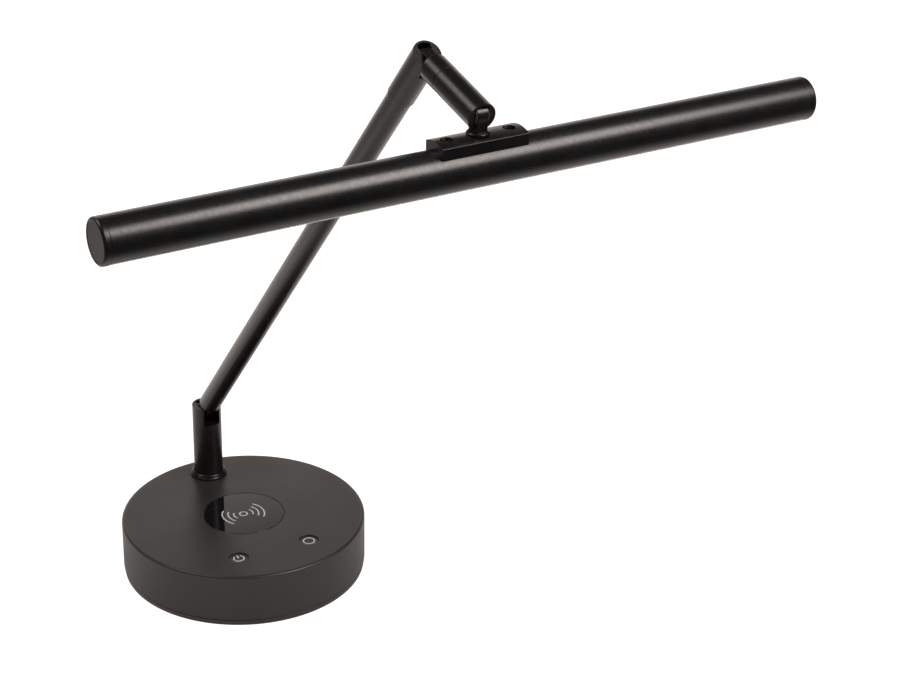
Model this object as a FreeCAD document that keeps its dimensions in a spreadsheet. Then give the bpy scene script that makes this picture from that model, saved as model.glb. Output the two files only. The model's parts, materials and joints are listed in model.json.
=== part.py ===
import FreeCAD, Part
import math
import os
import re

import Sketcher

# Desk light with a long tubular head, a folding arm and a round charging base.
# Millimetres, +Z up. The origin is the centre of the base on the table. The two
# buttons are at the front (-Y) and the post stands at the back (+Y).

SIZES = {
    # Base
    "base_radius": 90.5,
    "base_height": 41.5,
    "top_wall": 3.0,
    "side_wall": 3.0,
    "rim_round": 2.0,
    "cover_bottom": 5.3,
    "plate_bottom": 0.8,
    "plate_top": 5.0,
    "plate_inset": 0.1,
    "lip_width": 2.8,
    "lip_top": 7.5,
    "foot_radius": 84.0,
    "foot_top": 1.6,
    "sunk_head": 1.1,
    "boss_circle": 72.0,
    "boss_radius": 4.5,
    "cover_screw_radius": 1.5,
    "ballast_radius": 65.0,
    "ballast_top": 18.0,
    "ballast_screw_reach": 38.0,
    # Charging pad
    "disc_radius": 30.15,
    "disc_thick": 1.75,
    "disc_sink": 0.1,
    "disc_gap": 0.4,
    "coil_opening": 26.0,
    "coil_inner": 10.0,
    "coil_outer": 21.5,
    "coil_thick": 1.2,
    "ferrite_radius": 23.5,
    "ferrite_thick": 0.6,
    "tray_radius": 33.0,
    "tray_floor": 35.5,
    "tray_thick": 1.4,
    "tray_rim": 4.0,
    "tray_screw_circle": 31.2,
    "charger_length": 58.0,
    "charger_width": 30.0,
    "charger_bottom": 27.5,
    "standoff_reach": 24.0,
    # Buttons
    "button_reach_x": 27.8,
    "button_reach_y": 56.5,
    "button_radius": 6.95,
    "button_gap": 0.15,
    "button_sink": 0.8,
    "button_dish": 0.3,
    "button_flange": 8.2,
    "button_flange_thick": 1.5,
    "board_thick": 1.6,
    "control_length": 78.0,
    "control_width": 13.0,
    "control_bottom": 30.5,
    "control_boss_reach": 10.0,
    # Power inlet
    "jack_width": 9.0,
    "jack_front": 75.5,
    "jack_back": 87.0,
    "jack_nose_end": 89.9,
    "jack_low": 7.8,
    "jack_high": 18.0,
    "jack_nose_radius": 4.0,
    "jack_bore": 3.1,
    "jack_pin": 1.05,
    # Post
    "post_offset": 68.5,
    "post_turn": 2.8,
    "post_radius": 10.9,
    "post_pin_height": 97.7,
    "post_clearance": 0.05,
    "spigot_radius": 7.0,
    "thread_radius": 6.0,
    "spigot_bottom": 19.0,
    "bushing_radius": 9.0,
    "bushing_bottom": 26.5,
    "bushing_flange": 12.5,
    "post_boss_radius": 13.0,
    "nut_height": 4.4,
    "nut_corner_radius": 10.4,
    "collar_radius": 13.8,
    "collar_height": 4.2,
    "collar_bead": 12.6,
    # Hinges
    "pin_radius": 2.0,
    "pin_head_radius": 3.1,
    "pin_head_thick": 1.3,
    "pin_running_gap": 0.05,
    "end_past_pin": 4.0,
    "slot_width": 8.4,
    "slot_below_pin": 9.8,
    "sleeve_slot_below_pin": 8.0,
    "post_slot_width": 12.6,
    "slot_wall": 1.4,
    "tongue_width": 7.4,
    "post_tongue_width": 8.4,
    "tongue_radius": 5.9,
    "post_tongue_radius": 7.3,
    "washer_radius": 5.4,
    "washer_thick": 0.45,
    "post_spacer_thick": 2.05,
    "wire_hole": 1.6,
    "wire_radius": 1.5,
    # Arm
    "arm_length": 497.0,
    "arm_rise": 49.4,
    "arm_radius": 8.05,
    "arm_bore": 6.75,
    "arm_start": 10.7,
    "sleeve_radius": 8.9,
    "sleeve_length": 46.0,
    "sleeve_cup": 19.0,
    "plug_length": 20.0,
    # Link between the arm and the head
    "link_length": 62.0,
    "link_fall": 13.5,
    "link_bore": 7.1,
    "collar_start": 10.7,
    "collar_end": 25.5,
    "seam_gap": 0.2,
    "link_plug_length": 12.0,
    # Neck and saddle
    "neck_waist": 4.6,
    "flange_radius": 6.9,
    "flange_top": 9.7,
    "flange_thick": 1.6,
    "neck_spigot": 3.5,
    "neck_spigot_end": 24.5,
    "neck_nut_radius": 5.5,
    "neck_nut_thick": 2.6,
    "saddle_length": 56.6,
    "saddle_width": 18.4,
    "saddle_edge": 13.1,
    "saddle_crown": 11.45,
    "saddle_bevel": 0.5,
    "saddle_boss": 5.8,
    "saddle_screw_reach": 20.5,
    "saddle_screw_head": 3.0,
    "saddle_screw_floor": 15.3,
    "saddle_screw_end": 23.5,
    # Light head
    "tube_drop": 30.2,
    "tube_radius": 13.4,
    "tube_wall": 1.2,
    "tube_length": 460.0,
    "tube_shift": 1.7,
    "cap_thick": 2.5,
    "cap_spigot": 11.0,
    "cap_spigot_length": 6.0,
    "window_width": 18.0,
    "diffuser_thick": 1.6,
    "carrier_width": 23.0,
    "carrier_thick": 2.0,
    "carrier_length": 445.0,
    "strip_width": 12.0,
    "strip_thick": 1.2,
    "strip_length": 440.0,
    "chip_count": 28.0,
    "chip_pitch": 15.6,
}

X_AXIS = FreeCAD.Vector(1, 0, 0)
Y_AXIS = FreeCAD.Vector(0, 1, 0)
Z_AXIS = FreeCAD.Vector(0, 0, 1)

doc = FreeCAD.newDocument("desk_light")
sheet = doc.addObject("Spreadsheet::Sheet", "Dim")
for row, (alias, number) in enumerate(SIZES.items(), start=1):
    sheet.set(f"A{row}", alias)
    sheet.set(f"B{row}", str(number))
    sheet.setAlias(f"B{row}", alias)
doc.recompute()

sub_parts = []


# Expressions


def bound(expression):
    """The expression with every size name pointing at its cell in the sheet."""

    def cell(match):
        word = match.group()
        return f"Dim.{word}" if word in SIZES else word

    return re.sub(r"[a-z][a-z_]*", cell, str(expression))


def value(expression):
    return float(sheet.evalExpression(bound(expression)))


def bind(thing, **expressions):
    for name, expression in expressions.items():
        thing.setExpression(name.replace("__", "."), bound(expression))


# Placements


def shifted(x=0, y=0, z=0):
    return FreeCAD.Placement(FreeCAD.Vector(value(x), value(y), value(z)), FreeCAD.Rotation())


def turned(axis, degrees):
    return FreeCAD.Placement(FreeCAD.Vector(), FreeCAD.Rotation(axis, degrees))


# Bodies and sketches


def add_body(label):
    body = doc.addObject("PartDesign::Body", label)
    body.Label = label
    return body


def keep(thing, label, placement=None):
    """Lists a finished sub-part, under its own name and in its place."""
    thing.Label = label
    if placement is not None:
        thing.Placement = placement
    sub_parts.append((label, thing))


def add_sketch(body, name, role="XY_Plane", height=None):
    sketch = body.newObject("Sketcher::SketchObject", name)
    plane = next(f for f in body.Origin.OriginFeatures if f.Role == role)
    sketch.AttachmentSupport = [(plane, "")]
    sketch.MapMode = "FlatFace"
    if height is not None:
        sketch.setExpression("AttachmentOffset.Base.z", bound(height))
    return sketch


def hold(sketch, kind, *where, size):
    """Adds a dimension to the sketch and binds it to the sheet."""
    index = sketch.addConstraint(Sketcher.Constraint(kind, *where, value(size)))
    sketch.setExpression(f"Constraints[{index}]", bound(size))


def arc_between(start, end, radius):
    """Arc from start to end. A positive radius has its centre on the left of the way there."""
    middle = (start + end) * 0.5
    chord = end - start
    left = FreeCAD.Vector(-chord.y, chord.x, 0).normalize()
    rise = math.sqrt(radius * radius - chord.Length**2 / 4)
    side = 1 if radius > 0 else -1
    circle = Part.Circle(middle + left * rise * side, Z_AXIS, abs(radius))
    first, last = (start, end) if radius > 0 else (end, start)
    from_angle = circle.parameter(first)
    to_angle = circle.parameter(last)
    if to_angle < from_angle:
        to_angle += 2 * math.pi
    return Part.ArcOfCircle(circle, from_angle, to_angle)


def outline(sketch, corners, arcs=None):
    """Closed outline through corners, each a pair of expressions.

    arcs gives the radius of the stretches that are round, by the number of their first corner.
    """
    arcs = arcs or {}
    points = [FreeCAD.Vector(value(x), value(y), 0) for x, y in corners]
    first = sketch.GeometryCount
    total = len(points)
    starts = []
    for i, point in enumerate(points):
        following = points[(i + 1) % total]
        if i in arcs:
            radius = value(arcs[i])
            arc = arc_between(point, following, radius)
            sketch.addGeometry(arc, False)
            starts.append(1 if radius > 0 else 2)
        else:
            sketch.addGeometry(Part.LineSegment(point, following), False)
            starts.append(1)
    for i in range(total):
        after = (i + 1) % total
        joint = ("Coincident", first + i, 3 - starts[i], first + after, starts[after])
        sketch.addConstraint(Sketcher.Constraint(*joint))
        hold(sketch, "DistanceX", -1, 1, first + i, starts[i], size=corners[i][0])
        hold(sketch, "DistanceY", -1, 1, first + i, starts[i], size=corners[i][1])
    for i, radius in arcs.items():
        hold(sketch, "Radius", first + i, size=f"abs({radius})")


def rings(sketch, *circles):
    """Circles, each given as radius or (radius, x, y) in expressions."""
    for circle in circles:
        radius, x, y = circle if isinstance(circle, tuple) else (circle, 0, 0)
        centre = FreeCAD.Vector(value(x), value(y), 0)
        index = sketch.addGeometry(Part.Circle(centre, Z_AXIS, value(radius)), False)
        hold(sketch, "Radius", index, size=radius)
        hold(sketch, "DistanceX", -1, 1, index, 3, size=x)
        hold(sketch, "DistanceY", -1, 1, index, 3, size=y)


def rectangle(sketch, x1, y1, x2, y2):
    outline(sketch, [(x1, y1), (x2, y1), (x2, y2), (x1, y2)])


def revolve(body, name, corners, arcs=None, axis="V_Axis"):
    sketch = add_sketch(body, name + "_outline", "XZ_Plane")
    outline(sketch, corners, arcs)
    feature = body.newObject("PartDesign::Revolution", name)
    feature.Profile = sketch
    feature.ReferenceAxis = (sketch, [axis])
    feature.Angle = 360
    doc.recompute()


def pad(body, name, sketch, length, middle=False, back=False):
    feature = body.newObject("PartDesign::Pad", name)
    feature.Profile = sketch
    feature.Midplane = middle
    feature.Reversed = back
    bind(feature, Length=length)
    doc.recompute()
    return feature


def pocket(body, name, sketch, length, middle=False, back=False):
    """Cuts the sketch out of the body, and stops if nothing was cut."""
    before = body.Shape.Volume
    feature = body.newObject("PartDesign::Pocket", name)
    feature.Profile = sketch
    feature.Midplane = middle
    feature.Reversed = back
    bind(feature, Length=length)
    doc.recompute()
    if not before - body.Shape.Volume > 0.01:
        raise RuntimeError(f"{name} cuts nothing from {body.Label}")
    return feature


def around(body, name, feature, count):
    """Repeats a feature round the body's Z axis."""
    pattern = body.newObject("PartDesign::PolarPattern", name)
    pattern.Originals = [feature]
    axis = next(f for f in body.Origin.OriginFeatures if f.Role == "Z_Axis")
    pattern.Axis = (axis, [""])
    pattern.Angle = 360
    pattern.Occurrences = count
    body.Tip = pattern
    doc.recompute()


def chamfer(body, name, size, wanted):
    """Chamfers the edges of the body that wanted accepts."""
    edges = [f"Edge{i}" for i, edge in enumerate(body.Shape.Edges, start=1) if wanted(edge)]
    before = body.Tip
    feature = body.newObject("PartDesign::Chamfer", name)
    feature.Base = (before, edges)
    bind(feature, Size=size)
    doc.recompute()


# Primitives


def box(name, x1, y1, z1, length, width, height):
    solid = doc.addObject("Part::Box", name)
    bind(solid, Length=length, Width=width, Height=height)
    bind(solid, Placement__Base__x=x1, Placement__Base__y=y1, Placement__Base__z=z1)
    return solid


def rod(name, radius, z1, height, x=0, y=0):
    solid = doc.addObject("Part::Cylinder", name)
    bind(solid, Radius=radius, Height=height)
    bind(solid, Placement__Base__x=x, Placement__Base__y=y, Placement__Base__z=z1)
    return solid


def cross_rod(name, radius, x1, length):
    """A cylinder along X."""
    solid = doc.addObject("Part::Cylinder", name)
    solid.Placement = turned(Y_AXIS, 90)
    bind(solid, Radius=radius, Height=length, Placement__Base__x=x1)
    return solid


def cut(name, base, *tools):
    for i, tool in enumerate(tools):
        result = doc.addObject("Part::Cut", name if i == len(tools) - 1 else f"{name}_{i}")
        result.Base = base
        result.Tool = tool
        base = result
    return base


def fuse(name, *shapes):
    result = doc.addObject("Part::MultiFuse", name)
    result.Shapes = list(shapes)
    return result


def group(name, solids):
    result = doc.addObject("Part::Compound", name)
    result.Links = list(solids)
    return result


def screw(name, head_radius, head_z, head_height, radius, end_z, x=0, y=0):
    """A screw pointing up: its head starts at head_z and its shank ends at end_z."""
    head = rod(name + "_head", head_radius, head_z, head_height, x, y)
    shank = rod(name + "_shank", radius, head_z, f"{end_z} - ({head_z})", x, y)
    return fuse(name, head, shank)


def on_circle(radius, degrees):
    """Expressions of the point at an angle on a circle round the origin."""
    x = f"{radius} * {round(math.cos(math.radians(degrees)), 9)}"
    y = f"{radius} * {round(math.sin(math.radians(degrees)), 9)}"
    return x, y


COVER_SCREW_ANGLES = (45, 135, 225, 315)
TRAY_SCREW_ANGLES = (90, 210, 330)
SIDES = (-1, 1)


# Base


def make_base_cover():
    """Deep round shell, open below, with bosses, wells and a seat for the charging disc."""
    body = add_body("base_cover")
    ceiling = "base_height - top_wall"
    inside = "base_radius - side_wall"
    revolve(
        body,
        "cover_shell",
        [
            (0, ceiling),
            (inside, ceiling),
            (inside, "cover_bottom"),
            ("base_radius", "cover_bottom"),
            ("base_radius", "base_height - rim_round"),
            ("base_radius - rim_round", "base_height"),
            (0, "base_height"),
        ],
        {4: "rim_round"},
    )
    bosses = add_sketch(body, "cover_boss_circle", height="cover_bottom")
    rings(bosses, ("boss_radius", *on_circle("boss_circle", COVER_SCREW_ANGLES[0])))
    boss_height = "base_height - top_wall - cover_bottom + 0.5"
    first_boss = pad(body, "cover_boss", bosses, boss_height)
    around(body, "cover_bosses", first_boss, len(COVER_SCREW_ANGLES))
    holes = add_sketch(body, "cover_pilot_circles", height="cover_bottom")
    for angle in COVER_SCREW_ANGLES:
        rings(holes, ("cover_screw_radius + 0.02", *on_circle("boss_circle", angle)))
    pocket(body, "cover_pilots", holes, "18", back=True)
    post_boss = add_sketch(body, "post_boss_circle", height="bushing_bottom + 2.2")
    rings(post_boss, ("post_boss_radius", 0, "post_offset"))
    pad(body, "post_boss", post_boss, "base_height - top_wall - bushing_bottom - 1.7")
    small = add_sketch(body, "control_boss_circles", height="control_bottom + board_thick")
    for side in SIDES:
        rings(small, ("2.8", f"{side} * control_boss_reach", "-button_reach_y"))
    pad(body, "control_bosses", small, f"{ceiling} - control_bottom - board_thick + 0.5")
    pilots = add_sketch(body, "control_pilot_circles", height="control_bottom + board_thick")
    for side in SIDES:
        rings(pilots, ("1.02", f"{side} * control_boss_reach", "-button_reach_y"))
    pocket(body, "control_pilots", pilots, "5", back=True)
    seat = add_sketch(body, "disc_seat_circle", height="base_height")
    rings(seat, "disc_radius + disc_gap")
    pocket(body, "disc_seat", seat, "disc_thick + disc_sink")
    opening = add_sketch(body, "coil_opening_circle", height="base_height")
    rings(opening, "coil_opening")
    pocket(body, "coil_window", opening, "top_wall + 1")
    wells = add_sketch(body, "through_circles", height="base_height")
    for side in SIDES:
        rings(wells, ("button_radius + button_gap", f"{side} * button_reach_x", "-button_reach_y"))
    rings(wells, ("bushing_radius + 0.02", 0, "post_offset"))
    pocket(body, "button_wells", wells, "base_height - bushing_bottom")
    tray_holes = add_sketch(body, "tray_pilot_circles", height=ceiling)
    for angle in TRAY_SCREW_ANGLES:
        rings(tray_holes, ("1.02", *on_circle("tray_screw_circle", angle)))
    pocket(body, "tray_pilots", tray_holes, "1", back=True)
    inlet = add_sketch(body, "inlet_circle", "XZ_Plane", "-(base_radius + 1)")
    rings(inlet, ("jack_nose_radius + 0.1", 0, "(jack_low + jack_high) / 2"))
    pocket(body, "inlet_hole", inlet, "side_wall + 3", back=True)
    keep(body, "base_cover")


def make_bottom_plate():
    """Flat closing plate with a locating lip, a recess for the foot pad and sunk screw holes."""
    body = add_body("bottom_plate")
    rim = "base_radius - plate_inset"
    lip = "base_radius - side_wall - 0.15"
    revolve(
        body,
        "plate_disc",
        [
            (0, "foot_top"),
            ("foot_radius + 0.1", "foot_top"),
            ("foot_radius + 0.1", "plate_bottom"),
            (f"{rim} - 0.5", "plate_bottom"),
            (rim, "plate_bottom + 0.5"),
            (rim, "plate_top"),
            (lip, "plate_top"),
            (lip, "lip_top"),
            (f"{lip} - lip_width", "lip_top"),
            (f"{lip} - lip_width", "plate_top"),
            (0, "plate_top"),
        ],
    )
    holes = add_sketch(body, "plate_hole_circles", height="plate_top")
    sinks = add_sketch(body, "plate_sink_circles", height="foot_top")
    for angle in COVER_SCREW_ANGLES:
        place = on_circle("boss_circle", angle)
        rings(holes, ("cover_screw_radius + 0.2", *place))
        rings(sinks, ("3.3", *place))
    for side in SIDES:
        rings(holes, ("2.2", f"{side} * ballast_screw_reach", 0))
        rings(sinks, ("3.7", f"{side} * ballast_screw_reach", 0))
    pocket(body, "plate_holes", holes, "plate_top - foot_top + 1")
    pocket(body, "plate_sinks", sinks, "sunk_head", back=True)
    keep(body, "bottom_plate")


def make_foot_pad():
    body = add_body("foot_pad")
    revolve(
        body,
        "foot_profile",
        [
            (0, 0),
            ("foot_radius - 0.6", 0),
            ("foot_radius", 0.6),
            ("foot_radius", "foot_top"),
            (0, "foot_top"),
        ],
        {1: "0.6"},
    )
    keep(body, "foot_pad")


def make_ballast():
    """Steel weight that keeps the long reach from tipping the base."""
    body = add_body("ballast_weight")
    revolve(
        body,
        "ballast_disc",
        [
            (0, "plate_top"),
            ("ballast_radius", "plate_top"),
            ("ballast_radius", "ballast_top - 1"),
            ("ballast_radius - 1", "ballast_top"),
            (0, "ballast_top"),
        ],
    )
    holes = add_sketch(body, "ballast_hole_circles", height="plate_top")
    for side in SIDES:
        rings(holes, ("2.02", f"{side} * ballast_screw_reach", 0))
    pocket(body, "ballast_threads", holes, "8", back=True)
    keep(body, "ballast_weight")
    thick = "sunk_head - 0.1"
    head = "foot_top + 0.1"
    screws = [
        screw(f"ballast_screw_{i}", "3.4", head, thick, "2.0", "12.0", f"{side} * ballast_screw_reach")
        for i, side in enumerate(SIDES)
    ]
    keep(group("ballast_screws", screws), "ballast_screws")


def make_cover_screws():
    thick = "sunk_head - 0.1"
    head = "foot_top + 0.1"
    screws = []
    for angle in COVER_SCREW_ANGLES:
        place = on_circle("boss_circle", angle)
        name = f"cover_screw_{angle}"
        screws.append(screw(name, "3.0", head, thick, "cover_screw_radius", "18.0", *place))
    keep(group("cover_screws", screws), "cover_screws")


def make_charging_disc():
    body = add_body("charging_disc")
    top = "base_height - disc_sink"
    revolve(
        body,
        "disc_profile",
        [
            (0, f"{top} - disc_thick"),
            ("disc_radius", f"{top} - disc_thick"),
            ("disc_radius", f"{top} - 0.3"),
            ("disc_radius - 0.3", top),
            (0, top),
        ],
    )
    keep(body, "charging_disc")


def make_charging_coil():
    """Coil on its ferrite sheet, held under the disc by a plastic tray with the charger board."""
    ferrite_bottom = "tray_floor + tray_thick"
    coil_bottom = f"{ferrite_bottom} + ferrite_thick"
    keep(rod("ferrite_sheet", "ferrite_radius", ferrite_bottom, "ferrite_thick"), "ferrite_sheet")
    winding = rod("coil_winding", "coil_outer", coil_bottom, "coil_thick")
    eye = rod("coil_eye", "coil_inner", coil_bottom, "coil_thick")
    keep(cut("charging_coil", winding, eye), "charging_coil")

    body = add_body("coil_tray")
    ceiling = "base_height - top_wall"
    revolve(
        body,
        "tray_cup",
        [
            (0, "tray_floor"),
            ("tray_radius", "tray_floor"),
            ("tray_radius", ceiling),
            ("tray_radius - tray_rim", ceiling),
            ("tray_radius - tray_rim", ferrite_bottom),
            (0, ferrite_bottom),
        ],
    )
    legs = add_sketch(body, "tray_leg_circles", height="charger_bottom + board_thick")
    pilots = add_sketch(body, "tray_leg_pilots", height="charger_bottom + board_thick")
    for side in SIDES:
        rings(legs, ("2.6", f"{side} * standoff_reach", 0))
        rings(pilots, ("1.02", f"{side} * standoff_reach", 0))
    pad(body, "tray_legs", legs, "tray_floor - charger_bottom - board_thick + 0.5")
    pocket(body, "tray_leg_threads", pilots, "5", back=True)
    holes = add_sketch(body, "tray_hole_circles", height=ceiling)
    for angle in TRAY_SCREW_ANGLES:
        rings(holes, ("1.2", *on_circle("tray_screw_circle", angle)))
    pocket(body, "tray_holes", holes, f"{ceiling} - tray_floor + 1")
    keep(body, "coil_tray")
    screws = []
    for angle in TRAY_SCREW_ANGLES:
        place = on_circle("tray_screw_circle", angle)
        screws.append(screw(f"tray_screw_{angle}", "1.8", "tray_floor - 1.4", "1.4", "1.0", "base_height - top_wall + 0.9", *place))
    keep(group("tray_screws", screws), "tray_screws")


def make_charger_board():
    board = box(
        "charger_blank",
        "-charger_length / 2",
        "-charger_width / 2",
        "charger_bottom",
        "charger_length",
        "charger_width",
        "board_thick",
    )
    holes = [
        rod(f"charger_hole_{i}", "1.2", "charger_bottom - 1", "4", f"{side} * standoff_reach")
        for i, side in enumerate(SIDES)
    ]
    keep(cut("charger_board", board, *holes), "charger_board")
    chips = [
        box("charger_inductor", "-5", "-12", "charger_bottom - 5", "10", "10", "5"),
        box("charger_controller", "-4", "3", "charger_bottom - 1", "8", "8", "1"),
        rod("charger_capacitor", "3.5", "charger_bottom - 8", "8", "15", "-8"),
    ]
    keep(group("charger_components", chips), "charger_components")
    screws = []
    for i, side in enumerate(SIDES):
        name = f"charger_screw_{i}"
        head = "charger_bottom - 1.4"
        screws.append(screw(name, "1.8", head, "1.4", "1.0", "32.5", f"{side} * standoff_reach"))
    keep(group("charger_screws", screws), "charger_screws")


def make_control_board():
    """Board under the two buttons, with a tact switch below each."""
    blank = box(
        "control_blank",
        "-control_length / 2",
        "-button_reach_y - control_width / 2",
        "control_bottom",
        "control_length",
        "control_width",
        "board_thick",
    )
    holes = []
    screws = []
    switches = []
    top = "control_bottom + board_thick"
    for i, side in enumerate(SIDES):
        x = f"{side} * control_boss_reach"
        holes.append(rod(f"control_hole_{i}", "1.2", "control_bottom - 1", "4", x, "-button_reach_y"))
        head = "control_bottom - 1.4"
        name = f"control_screw_{i}"
        screws.append(screw(name, "1.8", head, "1.4", "1.0", "36.5", x, "-button_reach_y"))
        x = f"{side} * button_reach_x"
        case = box(f"switch_case_{i}", f"{x} - 3", "-button_reach_y - 3", top, "6", "6", "3.4")
        plunger = rod(f"switch_plunger_{i}", "1.7", top, "4.0", x, "-button_reach_y")
        switches.append(fuse(f"switch_{i}", case, plunger))
    keep(cut("control_board", blank, *holes), "control_board")
    keep(group("control_screws", screws), "control_screws")
    keep(group("tact_switches", switches), "tact_switches")


def make_power_jack():
    """Barrel inlet that looks out of the back of the cover."""
    body = add_body("power_jack")
    middle = "(jack_low + jack_high) / 2"
    case = add_sketch(body, "jack_case_outline", "XZ_Plane", "-jack_back")
    rectangle(case, "-jack_width / 2", "jack_low", "jack_width / 2", "jack_high")
    pad(body, "jack_case", case, "jack_back - jack_front")
    nose = add_sketch(body, "jack_nose_circle", "XZ_Plane", "-jack_nose_end")
    rings(nose, ("jack_nose_radius", 0, middle))
    pad(body, "jack_nose", nose, "jack_nose_end - jack_back + 1")
    bore = add_sketch(body, "jack_bore_circles", "XZ_Plane", "-jack_nose_end")
    rings(bore, ("jack_bore", 0, middle), ("jack_pin", 0, middle))
    pocket(body, "jack_socket", bore, "10", back=True)
    keep(body, "power_jack")


def make_button(label, side):
    """Round cap with a shallow dish, kept in by a flange below the cover."""
    body = add_body(label)
    top = "base_height - button_sink"
    ceiling = "base_height - top_wall - 0.1"
    rim = "button_radius - 0.3"
    revolve(
        body,
        label + "_cap",
        [
            (0, f"{ceiling} - button_flange_thick"),
            ("button_flange", f"{ceiling} - button_flange_thick"),
            ("button_flange", ceiling),
            ("button_radius", ceiling),
            ("button_radius", f"{top} - 0.3"),
            (rim, top),
            (0, f"{top} - button_dish"),
        ],
        {5: f"-(({rim}) * ({rim}) + button_dish * button_dish) / (2 * button_dish)"},
    )
    keep(body, label, shifted(f"{side} * button_reach_x", "-button_reach_y"))


def make_post_seat():
    """Bushing in the cover and the trim collar round the foot of the post."""
    bore = "spigot_radius + post_clearance"
    body = add_body("post_bushing")
    revolve(
        body,
        "bushing_profile",
        [
            (bore, "bushing_bottom"),
            ("bushing_flange", "bushing_bottom"),
            ("bushing_flange", "bushing_bottom + 2.1"),
            ("bushing_radius", "bushing_bottom + 2.1"),
            ("bushing_radius", "base_height - 0.1"),
            (bore, "base_height - 0.1"),
        ],
    )
    keep(body, "post_bushing", shifted(y="post_offset"))
    body = add_body("post_collar")
    inner = "post_radius + 0.1"
    revolve(
        body,
        "collar_profile",
        [
            (inner, "base_height"),
            ("collar_radius - 0.3", "base_height"),
            ("collar_radius - 0.3", "base_height + 0.2"),
            ("collar_radius - 0.9", "base_height + 2.3"),
            ("collar_bead", "base_height + 2.3"),
            ("collar_bead - 1.2", "base_height + collar_height"),
            (inner, "base_height + collar_height"),
        ],
        {2: "1.35", 4: "1.2"},
    )
    keep(body, "post_collar", shifted(y="post_offset"))


# Parts that all the hinges share


def cut_clevis(
    body, label, radius, pin_z, past_pin="end_past_pin", width="slot_width", depth="slot_below_pin"
):
    """Cuts the tongue slot and the pin seat into the end of a round part.

    The slot opens towards -Y and at the end, and leaves a wall at the back.
    """
    end = f"{pin_z} + {past_pin}"
    half = f"{width} / 2"
    inner = f"({radius} - slot_wall)"
    corner = f"sqrt({inner} * {inner} - {width} * {width} / 4)"
    slot = add_sketch(body, label + "_slot_outline", height=end)
    outline(
        slot,
        [(f"-({half})", corner), (f"-({half})", f"-{radius} - 1"), (half, f"-{radius} - 1"), (half, corner)],
        {3: inner},
    )
    pocket(body, label + "_slot", slot, f"{past_pin} + {depth}")
    shank = add_sketch(body, label + "_pin_circle", "YZ_Plane", f"{radius} + 1")
    rings(shank, ("pin_radius + 0.02", 0, pin_z))
    pocket(body, label + "_pin_hole", shank, f"2 * {radius} + 1 - 2")
    head = add_sketch(body, label + "_head_circle", "YZ_Plane", f"{radius} + 1")
    rings(head, ("pin_head_radius + 0.1", 0, pin_z))
    pocket(body, label + "_head_sink", head, "1 + 0.8 + pin_head_thick")


def make_hinge_pin(label, radius, frame):
    """Shoulder pin along X, pressed in from the +X side until its head is below the surface."""
    body = add_body(label)
    seat = f"{radius} - 0.8 - pin_head_thick"
    revolve(
        body,
        label + "_profile",
        [
            (f"-({radius} - 2.2)", 0),
            (seat, 0),
            (f"{seat} + pin_head_thick", 0),
            (f"{seat} + pin_head_thick", "pin_head_radius"),
            (seat, "pin_head_radius"),
            (seat, "pin_radius"),
            (f"-({radius} - 2.5)", "pin_radius"),
            (f"-({radius} - 2.2)", "pin_radius - 0.3"),
        ],
        axis="H_Axis",
    )
    keep(body, label, frame)


def make_hinge_washers(label, frame, width="slot_width", thick="washer_thick"):
    """Two friction washers, one on each side of the tongue."""
    washers = []
    for i, side in enumerate(SIDES):
        start = f"{width} / 2 - {thick}" if side > 0 else f"-{width} / 2"
        disc = cross_rod(f"{label}_disc_{i}", "washer_radius", start, thick)
        hole = cross_rod(f"{label}_hole_{i}", "pin_radius + 0.1", start, thick)
        washers.append(cut(f"{label}_{i}", disc, hole))
    keep(group(label, washers), label, frame)


def tongue_blade(body, label, radius, reach, width="tongue_width"):
    """Flat blade with a round end, from the pin out to reach along Z."""
    sketch = add_sketch(body, label + "_blade_outline", "YZ_Plane")
    rectangle(sketch, f"-{radius}", 0, radius, reach)
    pad(body, label + "_blade", sketch, width, middle=True)
    tongue_end(body, label, radius, width)


def tongue_end(body, label, radius, width="tongue_width"):
    sketch = add_sketch(body, label + "_end_circle", "YZ_Plane")
    rings(sketch, radius)
    pad(body, label + "_end", sketch, width, middle=True)


def pin_eye(body, label):
    eye = add_sketch(body, label + "_eye_circle", "YZ_Plane")
    rings(eye, "pin_radius + pin_running_gap")
    pocket(body, label + "_eye", eye, "post_tongue_width + 2", middle=True)


# Post


def make_post(frame):
    body = add_body("post_tube")
    foot = "base_height + post_clearance"
    top = "post_pin_height + end_past_pin"
    bore_top = "post_pin_height - slot_below_pin - 6"
    revolve(
        body,
        "post_profile",
        [
            ("3", "spigot_bottom"),
            ("thread_radius", "spigot_bottom"),
            ("thread_radius", "bushing_bottom - 0.1"),
            ("spigot_radius", "bushing_bottom - 0.1"),
            ("spigot_radius", foot),
            ("post_radius", foot),
            ("post_radius", f"{top} - 0.4"),
            ("post_radius - 0.4", top),
            ("wire_hole", top),
            ("wire_hole", bore_top),
            ("3", bore_top),
        ],
    )
    cut_clevis(body, "post", "post_radius", "post_pin_height", width="post_slot_width")
    keep(body, "post_tube", frame)
    nut_top = "bushing_bottom - 1.5"
    blank = doc.addObject("Part::Prism", "nut_blank")
    blank.Polygon = 6
    bind(blank, Circumradius="nut_corner_radius", Height="nut_height")
    bind(blank, Placement__Base__z=f"{nut_top} - nut_height")
    thread = rod("nut_thread", "thread_radius + 0.02", f"{nut_top} - nut_height - 1", "nut_height + 2")
    keep(cut("post_nut", blank, thread), "post_nut", frame)
    disc = rod("washer_disc", "10", nut_top, "1.4")
    hole = rod("washer_hole", "thread_radius + 0.1", nut_top, "1.4")
    keep(cut("post_washer", disc, hole), "post_washer", frame)


# Arm


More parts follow.
